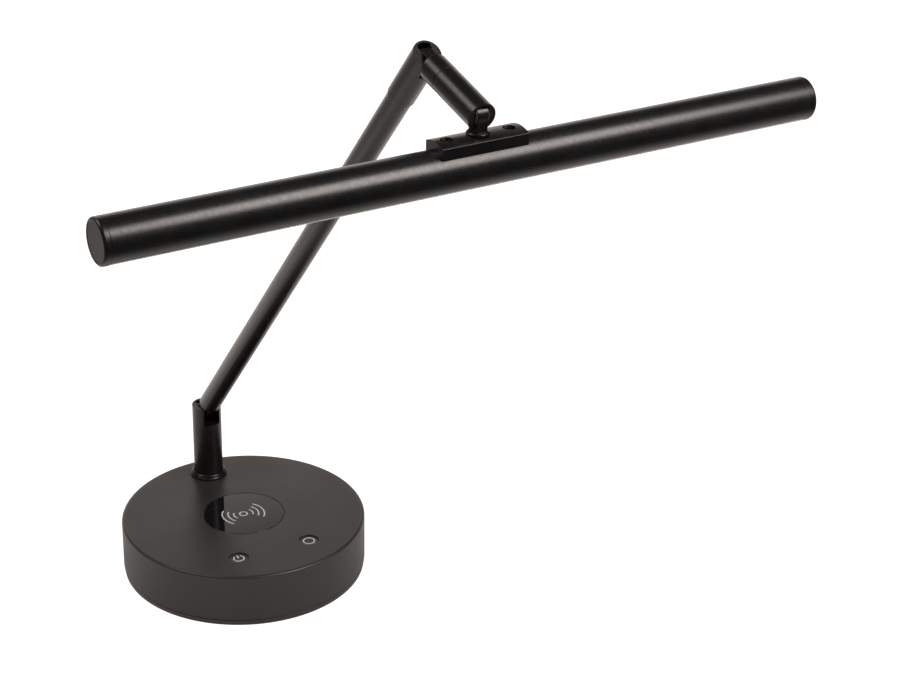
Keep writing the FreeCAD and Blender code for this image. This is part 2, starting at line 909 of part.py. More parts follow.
def make_arm(frame):
    body = add_body("arm_tongue")
    tongue_blade(body, "arm", "post_tongue_radius", "arm_start", "post_tongue_width")
    plug = add_sketch(body, "arm_plug_circle", height="arm_start")
    rings(plug, "arm_bore")
    pad(body, "arm_plug", plug, "plug_length")
    pin_eye(body, "arm")
    keep(body, "arm_tongue", frame)

    body = add_body("arm_tube")
    tube_end = "arm_length + end_past_pin - sleeve_length + sleeve_cup"
    revolve(
        body,
        "arm_profile",
        [
            ("arm_bore", "arm_start"),
            ("arm_radius - 0.4", "arm_start"),
            ("arm_radius", "arm_start + 0.4"),
            ("arm_radius", tube_end),
            ("arm_bore", tube_end),
        ],
    )
    keep(body, "arm_tube", frame)

    body = add_body("arm_sleeve")
    start = "arm_length + end_past_pin + 1 - sleeve_length"
    end = "arm_length + end_past_pin + 1"
    revolve(
        body,
        "sleeve_profile",
        [
            ("arm_radius", start),
            ("sleeve_radius - 0.7", start),
            ("sleeve_radius", f"{start} + 0.7"),
            ("sleeve_radius", f"{end} - 0.4"),
            ("sleeve_radius - 0.4", end),
            ("wire_hole", end),
            ("wire_hole", tube_end),
            ("arm_radius", tube_end),
        ],
        {1: "0.7"},
    )
    depth = "sleeve_slot_below_pin"
    cut_clevis(body, "sleeve", "sleeve_radius", "arm_length", "end_past_pin + 1", depth=depth)
    keep(body, "arm_sleeve", frame)
    wire_start = "arm_start + plug_length + 1"
    wire = rod("arm_wire_run", "wire_radius", wire_start, f"{tube_end} - ({wire_start}) - 1")
    keep(group("arm_wire", [wire]), "arm_wire", frame)


# Link


def make_link(frame):
    body = add_body("link_tongue")
    tongue_blade(body, "link", "tongue_radius", "collar_start + 1")
    revolve(
        body,
        "link_collar",
        [
            (0, "collar_start"),
            ("sleeve_radius - 0.4", "collar_start"),
            ("sleeve_radius", "collar_start + 0.4"),
            ("sleeve_radius", "collar_end"),
            ("link_bore", "collar_end"),
            ("link_bore", "collar_end + link_plug_length"),
            (0, "collar_end + link_plug_length"),
        ],
    )
    pin_eye(body, "link")
    keep(body, "link_tongue", frame)

    body = add_body("link_tube")
    start = "collar_end + seam_gap"
    end = "link_length + end_past_pin"
    bore_end = "link_length - slot_below_pin - 6"
    revolve(
        body,
        "link_profile",
        [
            ("link_bore", start),
            ("sleeve_radius", start),
            ("sleeve_radius", f"{end} - 0.5"),
            ("sleeve_radius - 0.5", end),
            ("wire_hole", end),
            ("wire_hole", bore_end),
            ("link_bore", bore_end),
        ],
        {2: "0.5"},
    )
    cut_clevis(body, "link_end", "sleeve_radius", "link_length")
    keep(body, "link_tube", frame)
    wire_start = "collar_end + link_plug_length + 1"
    wire = rod("link_wire_run", "wire_radius", wire_start, f"{bore_end} - ({wire_start}) - 1")
    keep(group("link_wire", [wire]), "link_wire", frame)


# Neck and head. Their frame has its origin on the head's tilt pin.


def make_neck(frame):
    body = add_body("neck_stem")
    sketch = add_sketch(body, "neck_blade_outline", "YZ_Plane")
    rectangle(sketch, "-neck_waist", "-flange_top - 0.5", "neck_waist", 0)
    pad(body, "neck_blade", sketch, "tongue_width", middle=True)
    tongue_end(body, "neck", "tongue_radius")
    under = "-flange_top - flange_thick"
    revolve(
        body,
        "neck_flange",
        [
            (0, "-flange_top"),
            ("flange_radius - 0.9", "-flange_top"),
            ("flange_radius", "-flange_top - 0.9"),
            ("flange_radius", under),
            ("neck_spigot", under),
            ("neck_spigot", "-neck_spigot_end"),
            (0, "-neck_spigot_end"),
        ],
        {1: "-0.9"},
    )
    pin_eye(body, "neck")
    keep(body, "neck_stem", frame)
    nut_bottom = "-neck_spigot_end + 0.4"
    disc = rod("neck_nut_disc", "neck_nut_radius", nut_bottom, "neck_nut_thick")
    hole = rod("neck_nut_hole", "neck_spigot + 0.02", nut_bottom, "neck_nut_thick")
    keep(cut("neck_nut", disc, hole), "neck_nut", frame)


def make_saddle(frame):
    """Crowned block that carries the tube, hollowed to fit it, with two sunk screws."""
    body = add_body("saddle")
    half = "(saddle_width / 2)"
    seat = "tube_radius + 0.02"
    foot = f"sqrt(({seat}) * ({seat}) - {half} * {half}) - tube_drop"
    bevelled = "(saddle_width / 2 - saddle_bevel)"
    rise = "(saddle_edge - saddle_crown)"
    crown = f"({bevelled} * {bevelled} + {rise} * {rise}) / (2 * {rise})"
    sketch = add_sketch(body, "saddle_section", "YZ_Plane")
    outline(
        sketch,
        [
            (f"-{half}", foot),
            (half, foot),
            (half, "-saddle_edge - saddle_bevel"),
            (bevelled, "-saddle_edge"),
            (f"-{bevelled}", "-saddle_edge"),
            (f"-{half}", "-saddle_edge - saddle_bevel"),
        ],
        {0: f"-({seat})", 3: crown},
    )
    pad(body, "saddle_block", sketch, "saddle_length", middle=True)
    shoulder = value("-saddle_edge - saddle_bevel") - 0.001

    def at_end_of_top(edge):
        return edge.BoundBox.ZMin > shoulder and edge.BoundBox.XLength < 0.001

    chamfer(body, "saddle_ends", "saddle_bevel", at_end_of_top)
    boss = add_sketch(body, "saddle_boss_circle", height="-saddle_crown - 2")
    rings(boss, "saddle_boss")
    pad(body, "saddle_seat", boss, "2 + saddle_crown - flange_top - flange_thick - 0.05")
    stem = add_sketch(body, "saddle_stem_circle", height="-saddle_crown + 3")
    rings(stem, "neck_spigot + 0.05")
    pocket(body, "saddle_stem_hole", stem, "16")
    holes = add_sketch(body, "saddle_screw_circles", height="-saddle_crown + 1")
    sinks = add_sketch(body, "saddle_sink_circles", height="-saddle_crown + 1")
    for side in SIDES:
        rings(holes, ("1.7", f"{side} * saddle_screw_reach", 0))
        rings(sinks, ("saddle_screw_head + 0.7", f"{side} * saddle_screw_reach", 0))
    pocket(body, "saddle_screw_holes", holes, "16")
    pocket(body, "saddle_screw_sinks", sinks, "1 + saddle_screw_floor - saddle_crown")
    keep(body, "saddle", frame)

    screws = []
    for i, side in enumerate(SIDES):
        x = f"{side} * saddle_screw_reach"
        head = rod(f"saddle_head_{i}", "saddle_screw_head", "-saddle_screw_floor", "1.8", x)
        depth = "saddle_screw_end - saddle_screw_floor + 1"
        shank = rod(f"saddle_shank_{i}", "1.5", "-saddle_screw_end", depth, x)
        screws.append(fuse(f"saddle_screw_{i}", head, shank))
    keep(group("saddle_screws", screws), "saddle_screws", frame)

    body = add_body("backing_plate")
    inner = "(tube_radius - tube_wall - 0.02)"
    width = "(6)"
    shoulder = f"sqrt({inner} * {inner} - {width} * {width}) - tube_drop"
    under = f"{inner} - 3.4 - tube_drop"
    sketch = add_sketch(body, "backing_section", "YZ_Plane")
    outline(
        sketch,
        [(f"-{width}", under), (width, under), (width, shoulder), (f"-{width}", shoulder)],
        {2: inner},
    )
    pad(body, "backing_bar", sketch, "saddle_length - 2", middle=True)
    holes = add_sketch(body, "backing_circles", height="-saddle_crown")
    rings(holes, "neck_spigot + 0.1")
    for side in SIDES:
        rings(holes, ("1.52", f"{side} * saddle_screw_reach", 0))
    pocket(body, "backing_holes", holes, "20")
    keep(body, "backing_plate", frame)


def make_light_tube(frame):
    body = add_body("light_tube")
    sketch = add_sketch(body, "tube_section", "YZ_Plane")
    rings(sketch, ("tube_radius", 0, "-tube_drop"), ("tube_radius - tube_wall", 0, "-tube_drop"))
    pad(body, "tube_blank", sketch, "tube_length", middle=True)
    window = add_sketch(body, "window_outline", "YZ_Plane")
    half = "window_width / 2"
    rectangle(window, f"-({half})", "-tube_drop - tube_radius - 1", half, "-tube_drop - 6")
    pocket(body, "window", window, "tube_length + 2", middle=True)
    holes = add_sketch(body, "tube_hole_circles", height="-tube_drop + tube_radius + 1")
    rings(holes, ("neck_spigot + 0.6", "-tube_shift", 0))
    for side in SIDES:
        rings(holes, ("1.7", f"{side} * saddle_screw_reach - tube_shift", 0))
    pocket(body, "tube_holes", holes, "tube_wall + 2")
    keep(body, "light_tube", frame)


def make_diffuser(frame):
    """Opal strip that closes the window and hooks behind its edges."""
    body = add_body("diffuser")
    outer = "(tube_radius - 0.1)"
    inner = f"({outer} - diffuser_thick)"
    half = "(window_width / 2 - 0.1)"
    for name, big, small, width in (
        ("diffuser_face", outer, inner, half),
        ("diffuser_hooks", "(tube_radius - tube_wall - 0.1)", f"({inner} - 0.4)", f"({half} + 1.1)"),
    ):
        low = f"-tube_drop - sqrt({big} * {big} - {width} * {width})"
        high = f"-tube_drop - sqrt({small} * {small} - {width} * {width})"
        sketch = add_sketch(body, name + "_section", "YZ_Plane")
        outline(
            sketch,
            [(f"-{width}", low), (width, low), (width, high), (f"-{width}", high)],
            {0: big, 2: f"-{small}"},
        )
        pad(body, name, sketch, "tube_length - 0.4", middle=True)
    keep(body, "diffuser", frame)


def make_light_engine(frame):
    carrier = box(
        "carrier_bar",
        "-carrier_length / 2",
        "-carrier_width / 2",
        "-tube_drop - carrier_thick / 2",
        "carrier_length",
        "carrier_width",
        "carrier_thick",
    )
    keep(group("led_carrier", [carrier]), "led_carrier", frame)
    strip_top = "-tube_drop - carrier_thick / 2"
    strip = box(
        "strip_board",
        "-strip_length / 2",
        "-strip_width / 2",
        f"{strip_top} - strip_thick",
        "strip_length",
        "strip_width",
        "strip_thick",
    )
    keep(group("led_strip", [strip]), "led_strip", frame)
    chips = []
    for i in range(int(value("chip_count"))):
        x = f"({i} - (chip_count - 1) / 2) * chip_pitch - 1.4"
        chips.append(box(f"chip_{i}", x, "-1.75", f"{strip_top} - strip_thick - 0.7", "2.8", "3.5", "0.7"))
    keep(group("led_chips", chips), "led_chips", frame)


def make_end_cap(label, frame):
    """Plug with a bevelled face, pushed into one end of the tube."""
    body = add_body(label)
    revolve(
        body,
        label + "_profile",
        [
            ("-cap_spigot_length", 0),
            ("cap_thick", 0),
            ("cap_thick", "tube_radius - 0.6"),
            ("cap_thick - 0.6", "tube_radius"),
            ("0", "tube_radius"),
            ("0", "cap_spigot"),
            ("-cap_spigot_length", "cap_spigot"),
        ],
        axis="H_Axis",
    )
    keep(body, label, frame)


def build():
    make_base_cover()
    make_bottom_plate()
    make_foot_pad()
    make_ballast()
    make_cover_screws()
    make_charging_disc()
    make_charging_coil()
    make_charger_board()
    make_control_board()
    make_power_jack()
    make_button("power_button", -1)
    make_button("mode_button", 1)
    make_post_seat()

    stand = shifted(y="post_offset").multiply(turned(Z_AXIS, value("post_turn")))
    make_post(stand)

    arm = stand.multiply(shifted(z="post_pin_height"))
    make_hinge_pin("arm_pin", "post_radius", arm)
    make_hinge_washers("arm_washers", arm, "post_slot_width", "post_spacer_thick")
    arm = arm.multiply(turned(X_AXIS, value("90 - arm_rise")))
    make_arm(arm)

    link = arm.multiply(shifted(z="arm_length"))
    make_hinge_pin("link_pin", "sleeve_radius", link)
    make_hinge_washers("link_washers", link)
    link = link.multiply(turned(X_AXIS, value("arm_rise + link_fall")))
    make_link(link)

    neck = link.multiply(shifted(z="link_length"))
    make_hinge_pin("neck_pin", "sleeve_radius", neck)
    make_hinge_washers("neck_washers", neck)
    neck = neck.multiply(turned(X_AXIS, value("-90 - link_fall")))
    make_neck(neck)
    make_saddle(neck)
    lamp = neck.multiply(shifted(x="tube_shift"))
    make_light_tube(lamp)
    make_diffuser(lamp)
    make_light_engine(lamp)
    for label, side in (("end_cap_left", -1), ("end_cap_right", 1)):
        end = lamp.multiply(shifted(x=f"{side} * tube_length / 2", z="-tube_drop"))
        if side < 0:
            end = end.multiply(turned(Z_AXIS, 180))
        make_end_cap(label, end)


def check_document():
    for thing in doc.Objects:
        if {"Invalid", "Error"} & set(thing.State):
            raise RuntimeError(f"{thing.Label} did not compute: {thing.State}")
    for label, thing in sub_parts:
        if thing.Shape.isNull() or not thing.Shape.isValid():
            raise RuntimeError(f"{label} has no valid shape")


build()
doc.recompute()
check_document()
os.makedirs("parts", exist_ok=True)
for label, thing in sub_parts:
    thing.Shape.exportStep(f"parts/{label}.step")
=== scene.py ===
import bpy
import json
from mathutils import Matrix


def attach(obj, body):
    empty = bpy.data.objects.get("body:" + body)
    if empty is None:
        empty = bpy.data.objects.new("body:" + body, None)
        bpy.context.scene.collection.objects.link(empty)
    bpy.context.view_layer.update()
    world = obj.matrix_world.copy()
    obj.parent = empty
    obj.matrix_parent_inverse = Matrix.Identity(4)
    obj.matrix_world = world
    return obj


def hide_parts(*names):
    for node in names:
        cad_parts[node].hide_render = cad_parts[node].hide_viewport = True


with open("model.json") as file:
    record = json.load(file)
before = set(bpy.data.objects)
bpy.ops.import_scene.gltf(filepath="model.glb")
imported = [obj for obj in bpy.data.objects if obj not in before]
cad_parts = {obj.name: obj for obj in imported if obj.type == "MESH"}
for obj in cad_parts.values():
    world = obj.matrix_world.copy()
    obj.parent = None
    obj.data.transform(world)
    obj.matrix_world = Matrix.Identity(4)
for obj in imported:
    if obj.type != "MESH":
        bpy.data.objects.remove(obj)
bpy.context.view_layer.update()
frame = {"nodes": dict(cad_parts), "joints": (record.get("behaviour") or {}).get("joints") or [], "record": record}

import json
import math

import bmesh
import bpy
from mathutils import Matrix, Vector

MM = 0.001
JOINTS = {joint["name"]: joint for joint in frame["joints"]}

# ---------------------------------------------------------------- frames of the moving chain


def joint_place(name):
    """Where a joint's axis is, in metres."""
    return Vector(JOINTS[name]["pos_m"])


def axes_frame(origin, x_axis, z_axis):
    """Matrix of a frame from its origin, its X axis and its Z axis, for shapes in millimetres."""
    x = Vector(x_axis).normalized()
    z = Vector(z_axis).normalized()
    y = z.cross(x)
    rotation = Matrix((x, y, z)).transposed().to_4x4()
    return Matrix.Translation(origin) @ rotation @ Matrix.Scale(MM, 4)


HINGE_AXIS = Vector(JOINTS["arm_tilt"]["axis"])
POST_FOOT = Vector((joint_place("post_swivel").x, joint_place("post_swivel").y, 0))
BASE = Matrix.Scale(MM, 4)
POST_SEAT = Matrix.Translation(POST_FOOT) @ BASE
POST = axes_frame(POST_FOOT, HINGE_AXIS, (0, 0, 1))
ARM_PIN = joint_place("arm_tilt")
LINK_PIN = joint_place("link_tilt")
NECK_PIN = joint_place("head_tilt")
POST_TOP = axes_frame(ARM_PIN, HINGE_AXIS, (0, 0, 1))
ARM = axes_frame(ARM_PIN, HINGE_AXIS, LINK_PIN - ARM_PIN)
ARM_END = axes_frame(LINK_PIN, HINGE_AXIS, LINK_PIN - ARM_PIN)
LINK = axes_frame(LINK_PIN, HINGE_AXIS, NECK_PIN - LINK_PIN)
LINK_END = axes_frame(NECK_PIN, HINGE_AXIS, NECK_PIN - LINK_PIN)
HEAD = axes_frame(NECK_PIN, HINGE_AXIS, (0, 0, 1))
ARM_LENGTH = (LINK_PIN - ARM_PIN).length / MM
LINK_LENGTH = (NECK_PIN - LINK_PIN).length / MM
PIN_HEIGHT = ARM_PIN.z / MM

# ---------------------------------------------------------------- mesh building


def arc(centre, radius, start, end, steps):
    """Points on an arc, from one angle to another in degrees."""
    points = []
    for i in range(steps + 1):
        angle = math.radians(start + (end - start) * i / steps)
        points.append((centre[0] + radius * math.cos(angle), centre[1] + radius * math.sin(angle)))
    return points


def soften(points, steps=5, closed=True):
    """Rounds the corners of an outline. A corner is (x, y) or (x, y, radius)."""
    result = []
    total = len(points)
    for i, point in enumerate(points):
        here = Vector(point[:2])
        radius = point[2] if len(point) > 2 else 0
        if radius <= 0 or (not closed and i in (0, total - 1)):
            result.append(tuple(here))
            continue
        back = Vector(points[i - 1][:2]) - here
        ahead = Vector(points[(i + 1) % total][:2]) - here
        turn = math.pi - back.angle(ahead)
        reach = radius * math.tan(turn / 2)
        start = here + back.normalized() * reach
        end = here + ahead.normalized() * reach
        middle = here + (back.normalized() + ahead.normalized()).normalized() * (
            radius / math.cos(turn / 2)
        )
        first = math.atan2(*(start - middle).yx)
        sweep = math.atan2(*(end - middle).yx) - first
        sweep = (sweep + math.pi) % (2 * math.pi) - math.pi
        for k in range(steps + 1):
            angle = first + sweep * k / steps
            result.append((middle.x + radius * math.cos(angle), middle.y + radius * math.sin(angle)))
    return result


def new_mesh(name, build):
    """New object whose mesh is made by build, with its seams merged and its normals outwards."""
    mesh = bpy.data.meshes.new(name)
    bm = bmesh.new()
    build(bm)
    bmesh.ops.remove_doubles(bm, verts=bm.verts, dist=1e-5)
    bmesh.ops.recalc_face_normals(bm, faces=bm.faces)
    bm.to_mesh(mesh)
    bm.free()
    thing = bpy.data.objects.new(name, mesh)
    bpy.context.scene.collection.objects.link(thing)
    return thing


def lathe(name, profile, segments=192, axis="Z", closed=True):
    """Turns a profile of (radius, height) about an axis."""

    def build(bm):
        columns = []
        for s in range(segments):
            angle = 2 * math.pi * s / segments
            c, d = math.cos(angle), math.sin(angle)
            column = []
            for r, height in profile:
                r = max(r, 0)
                place = (r * c, r * d, height) if axis == "Z" else (height, r * c, r * d)
                column.append(bm.verts.new(place))
            columns.append(column)
        count = len(profile)
        last = count if closed else count - 1
        for s in range(segments):
            a, b = columns[s], columns[(s + 1) % segments]
            for i in range(last):
                k = (i + 1) % count
                flat_a = profile[i][0] <= 1e-6
                flat_b = profile[k][0] <= 1e-6
                if flat_a and flat_b:
                    continue
                corners = [a[i], a[k], b[k], b[i]]
                if flat_a:
                    corners = [a[i], a[k], b[k]]
                elif flat_b:
                    corners = [a[i], a[k], b[i]]
                bm.faces.new(corners)

    return new_mesh(name, build)


def extrude(name, outline, start, end):
    """Extrudes an outline of (y, z) along X."""

    def build(bm):
        left = [bm.verts.new((start, y, z)) for y, z in outline]
        right = [bm.verts.new((end, y, z)) for y, z in outline]
        total = len(outline)
        for i in range(total):
            k = (i + 1) % total
            bm.faces.new((left[i], left[k], right[k], right[i]))
        bm.faces.new(left)
        bm.faces.new(right[::-1])

    return new_mesh(name, build)


def clevis(name, radius, bottom, floor, top, half, wall, steps=96):
    """Round end with a slot from the front (-Y) and the top, closed at the back by a thin wall."""
    inner = radius - wall
    front = -math.sqrt(radius * radius - half * half)
    corner = math.degrees(math.atan2(front, half))
    back_arc = arc((0, 0), radius, corner, 180 - corner, steps)
    front_arc = arc((0, 0), radius, 180 - corner, 360 + corner, steps // 3)
    inside = math.degrees(math.acos(half / inner))
    slot_path = arc((0, 0), inner, inside, 180 - inside, steps // 3)

    def build(bm):
        def ring(points, z):
            return [bm.verts.new((x, y, z)) for x, y in points]

        def wall_between(low, high):
            for i in range(len(low) - 1):
                bm.faces.new((low[i], low[i + 1], high[i + 1], high[i]))

        low_back, low_front = ring(back_arc, bottom), ring(front_arc, bottom)
        mid_back, mid_front = ring(back_arc, floor), ring(front_arc, floor)
        top_back = ring(back_arc, top)
        wall_between(low_back, mid_back)
        wall_between(low_front, mid_front)
        wall_between(mid_back, top_back)
        mid_slot, top_slot = ring(slot_path, floor), ring(slot_path, top)
        wall_between(mid_slot, top_slot)
        bm.faces.new((mid_back[0], top_back[0], top_slot[0], mid_slot[0]))
        bm.faces.new((mid_back[-1], top_back[-1], top_slot[-1], mid_slot[-1]))
        bm.faces.new(mid_slot + mid_front[:])
        bm.faces.new(top_back + top_slot[::-1])
        bm.faces.new(low_back + low_front[1:-1])

    return new_mesh(name, build)


def place(thing, matrix):
    """Moves the mesh itself, and keeps its normals outwards if the matrix mirrors it."""
    thing.data.transform(matrix)
    if matrix.determinant() < 0:
        thing.data.flip_normals()
    return thing


def join(name, things):
    """One object from several closed shells."""
    bm = bmesh.new()
    for thing in things:
        bm.from_mesh(thing.data)
    mesh = bpy.data.meshes.new(name)
    bm.to_mesh(mesh)
    bm.free()
    for thing in things:
        bpy.data.objects.remove(thing)
    result = bpy.data.objects.new(name, mesh)
    bpy.context.scene.collection.objects.link(result)
    return result


def bake(thing):
    """Applies the modifiers of an object to its mesh."""
    graph = bpy.context.evaluated_depsgraph_get()
    graph.update()
    mesh = bpy.data.meshes.new_from_object(thing.evaluated_get(graph))
    thing.modifiers.clear()
    thing.data = mesh
    return thing


def carve(thing, *cutters):
    """Cuts each closed shell out of the object."""
    for cutter in cutters:
        modifier = thing.modifiers.new("carve", "BOOLEAN")
        modifier.operation = "DIFFERENCE"
        modifier.solver = "EXACT"
        modifier.object = cutter
        bake(thing)
        bpy.data.objects.remove(cutter)
    return thing


def bevel(thing, width, steps=3, angle=35):
    """Rounds the edges that turn by more than the angle, in degrees."""
    modifier = thing.modifiers.new("bevel", "BEVEL")
    modifier.width = width
    modifier.segments = steps
    modifier.limit_method = "ANGLE"
    modifier.angle_limit = math.radians(angle)
    modifier.miter_outer = "MITER_ARC"
    modifier.use_clamp_overlap = True
    return bake(thing)


def finish_piece(thing, matrix, body, slot, *replaced, smooth=32):
    """Puts a piece in its place in the row frame and on its body."""
    place(thing, matrix)
    mesh = thing.data
    for polygon in mesh.polygons:
        polygon.use_smooth = True
    mesh.set_sharp_from_angle(angle=math.radians(smooth))
    weighted = thing.modifiers.new("normals", "WEIGHTED_NORMAL")
    weighted.keep_sharp = True
    mesh.materials.clear()
    mesh.materials.append(MATERIALS[slot])
    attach(thing, body)
    if replaced:
        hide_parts(*replaced)
    return thing


# ---------------------------------------------------------------- materials


class Nodes:
    """Short names for building a material from nodes."""

    def __init__(self, name):
        self.material = bpy.data.materials.new(name)
        self.material.use_nodes = True
        self.tree = self.material.node_tree
        self.shader = self.tree.nodes["Principled BSDF"]
        self.where = self.add("ShaderNodeTexCoord").outputs["Object"]

    def add(self, kind, **values):
        node = self.tree.nodes.new(kind)
        for key, content in values.items():
            setattr(node, key, content)
        return node

    def link(self, source, target):
        self.tree.links.new(source, target)

    def noise(self, scale, detail=3.0, roughness=0.5, stretch=None):
        node = self.add("ShaderNodeTexNoise")
        node.inputs["Scale"].default_value = scale
        node.inputs["Detail"].default_value = detail
        node.inputs["Roughness"].default_value = roughness
        where = self.where
        if stretch is not None:
            mapping = self.add("ShaderNodeMapping")
            mapping.inputs["Scale"].default_value = stretch
            self.link(where, mapping.inputs["Vector"])
            where = mapping.outputs["Vector"]
        self.link(where, node.inputs["Vector"])
        return node.outputs["Fac"]

    def spread(self, source, low, high, from_low=0.3, from_high=0.7):
        """Maps a value to a range."""
        node = self.add("ShaderNodeMapRange")
        node.inputs["From Min"].default_value = from_low
        node.inputs["From Max"].default_value = from_high
        node.inputs["To Min"].default_value = low
        node.inputs["To Max"].default_value = high
        self.link(source, node.inputs["Value"])
        return node.outputs["Result"]

    def colours(self, source, first, second, low=0.35, high=0.65):
        node = self.add("ShaderNodeValToRGB")
        node.color_ramp.elements[0].position = low
        node.color_ramp.elements[0].color = (*first, 1)
        node.color_ramp.elements[1].position = high
        node.color_ramp.elements[1].color = (*second, 1)
        self.link(source, node.inputs["Fac"])
        return node.outputs["Color"]

    def bump(self, source, strength, distance, below=None):
        node = self.add("ShaderNodeBump")
        node.inputs["Strength"].default_value = strength
        node.inputs["Distance"].default_value = distance
        self.link(source, node.inputs["Height"])
        if below is not None:
            self.link(below, node.inputs["Normal"])
        return node.outputs["Normal"]

    def math(self, operation, *sources):
        """Output of a math node. A source is a socket or a number."""
        node = self.add("ShaderNodeMath", operation=operation)
        for socket, source in zip(node.inputs, sources):
            if isinstance(source, bpy.types.NodeSocket):
                self.link(source, socket)
            else:
                socket.default_value = source
        return node.outputs[0]

    def set(self, **values):
        for key, content in values.items():
            socket = self.shader.inputs[key.replace("_", " ")]
            if isinstance(content, bpy.types.NodeSocket):
                self.link(content, socket)
            else:
                socket.default_value = content
        return self.material


def soft_touch(name, dark, light, roughness, grain=2600.0, depth=0.00002, glint=0.5):
    """Fine moulded texture with a faint cloudiness from handling."""
    n = Nodes(name)
    clouds = n.noise(22.0, 5.0, 0.6)
    speck = n.noise(grain, 2.0, 0.6)
    tint = n.colours(clouds, dark, light)
    dull = n.spread(clouds, roughness - 0.05, roughness + 0.05)
    normal = n.bump(speck, 0.25, depth)
    return n.set(Base_Color=tint, Roughness=dull, Normal=normal, Specular_IOR_Level=glint)


def enamel(name, dark, light, roughness, peel=0.12, glint=0.5):
    """Sprayed coat with a slight orange peel."""
    n = Nodes(name)
    clouds = n.noise(60.0, 4.0, 0.55)
    tint = n.colours(clouds, dark, light)
    dull = n.spread(n.noise(420.0, 3.0, 0.6), roughness - 0.04, roughness + 0.05)
    skin = n.bump(n.noise(900.0, 2.0, 0.5), peel, 0.00005)
    normal = n.bump(n.noise(6500.0, 1.0, 0.5), peel * 0.6, 0.00001, skin)
    return n.set(Base_Color=tint, Roughness=dull, Normal=normal, Specular_IOR_Level=glint)


def drawn_metal(name, dark, light, roughness, metallic, along=(1, 1, 1)):
    """Metal with fine lines in the direction it was drawn or turned."""
    n = Nodes(name)
    lines = n.noise(900.0, 4.0, 0.6, along)
    tint = n.colours(lines, dark, light)
    dull = n.spread(lines, roughness - 0.08, roughness + 0.1)
    normal = n.bump(lines, 0.15, 0.00002)
    return n.set(Base_Color=tint, Roughness=dull, Normal=normal, Metallic=metallic)


def polished(name, colour, dust):
    """Mirror-smooth plastic with a little dust on it."""
    n = Nodes(name)
    specks = n.noise(1500.0, 2.0, 0.4)
    smear = n.noise(35.0, 4.0, 0.6)
    tint = n.colours(specks, colour, dust, 0.72, 0.8)
    dull = n.spread(smear, 0.015, 0.06, 0.4, 0.75)
    return n.set(Base_Color=tint, Roughness=dull, Specular_IOR_Level=0.7)


def circuit_board(name, mask, track):
    """Solder mask over a pattern of tracks."""
    n = Nodes(name)
    brick = n.add("ShaderNodeTexBrick")
    brick.inputs["Scale"].default_value = 160.0
    brick.inputs["Color1"].default_value = (*mask, 1)
    brick.inputs["Color2"].default_value = (*mask, 1)
    brick.inputs["Mortar"].default_value = (*track, 1)
    brick.inputs["Mortar Size"].default_value = 0.012
    n.link(n.where, brick.inputs["Vector"])
    normal = n.bump(brick.outputs["Fac"], 0.2, 0.00003)
    return n.set(Base_Color=brick.outputs["Color"], Roughness=0.35, Normal=normal)


def opal(name):
    """Milky plastic that spreads the light of the LEDs."""
    n = Nodes(name)
    grain = n.noise(3500.0, 2.0, 0.5)
    tint = n.colours(n.noise(40.0), (0.86, 0.86, 0.83), (0.92, 0.92, 0.9))
    normal = n.bump(grain, 0.15, 0.00002)
    return n.set(
        Base_Color=tint,
        Roughness=0.42,
        Normal=normal,
        Subsurface_Weight=0.6,
        Subsurface_Radius=(0.004, 0.004, 0.0036),
    )


def printed_ink(name, dark, light):
    """Thin, slightly uneven print."""
    n = Nodes(name)
    return n.set(Base_Color=n.colours(n.noise(2500.0, 3.0, 0.6), dark, light), Roughness=0.5)


MATERIALS = {
    "base_black": soft_touch("base_black", (0.020, 0.017, 0.016), (0.025, 0.021, 0.020), 0.4, glint=0.75),
    "foot_rubber": soft_touch(
        "foot_rubber", (0.018, 0.018, 0.018), (0.028, 0.028, 0.027), 0.85, grain=900.0, depth=0.0001
    ),
    "gloss_black": polished("gloss_black", (0.006, 0.006, 0.007), (0.03, 0.03, 0.03)),
    "button_black": soft_touch(
        "button_black", (0.02, 0.019, 0.019), (0.027, 0.026, 0.025), 0.38, grain=3200.0, depth=0.00001
    ),
    "black_enamel": enamel("black_enamel", (0.006, 0.006, 0.006), (0.009, 0.008, 0.008), 0.29),
    "tube_black": enamel(
        "tube_black", (0.006, 0.006, 0.006), (0.009, 0.009, 0.009), 0.30, peel=0.06, glint=0.65
    ),
    "opal": opal("opal"),
    "bare_steel": drawn_metal("bare_steel", (0.42, 0.42, 0.42), (0.62, 0.62, 0.61), 0.35, 1.0, (1, 14, 14)),
    "screw_steel": drawn_metal("screw_steel", (0.45, 0.45, 0.44), (0.7, 0.7, 0.68), 0.3, 1.0, (6, 6, 1)),
    "screw_brass": drawn_metal("screw_brass", (0.62, 0.40, 0.22), (0.9, 0.62, 0.38), 0.3, 1.0, (6, 6, 1)),
    "bare_aluminium": drawn_metal(
        "bare_aluminium", (0.6, 0.6, 0.61), (0.8, 0.8, 0.81), 0.32, 1.0, (0.2, 9, 9)
    ),
    "copper": drawn_metal("copper", (0.5, 0.22, 0.1), (0.8, 0.42, 0.22), 0.3, 1.0, (3, 3, 1)),
    "ferrite": soft_touch("ferrite", (0.05, 0.05, 0.052), (0.09, 0.09, 0.09), 0.7),
    "inner_plastic": soft_touch("inner_plastic", (0.06, 0.06, 0.06), (0.09, 0.09, 0.088), 0.55),
    "board_green": circuit_board("board_green", (0.01, 0.09, 0.035), (0.03, 0.2, 0.08)),
    "board_white": circuit_board("board_white", (0.82, 0.82, 0.8), (0.6, 0.6, 0.55)),
    "chip_black": soft_touch("chip_black", (0.02, 0.02, 0.02), (0.04, 0.04, 0.04), 0.6),
    "led_yellow": soft_touch("led_yellow", (0.8, 0.62, 0.12), (0.9, 0.75, 0.2), 0.35),
    "wire_rubber": soft_touch("wire_rubber", (0.03, 0.03, 0.03), (0.05, 0.05, 0.05), 0.6),
}
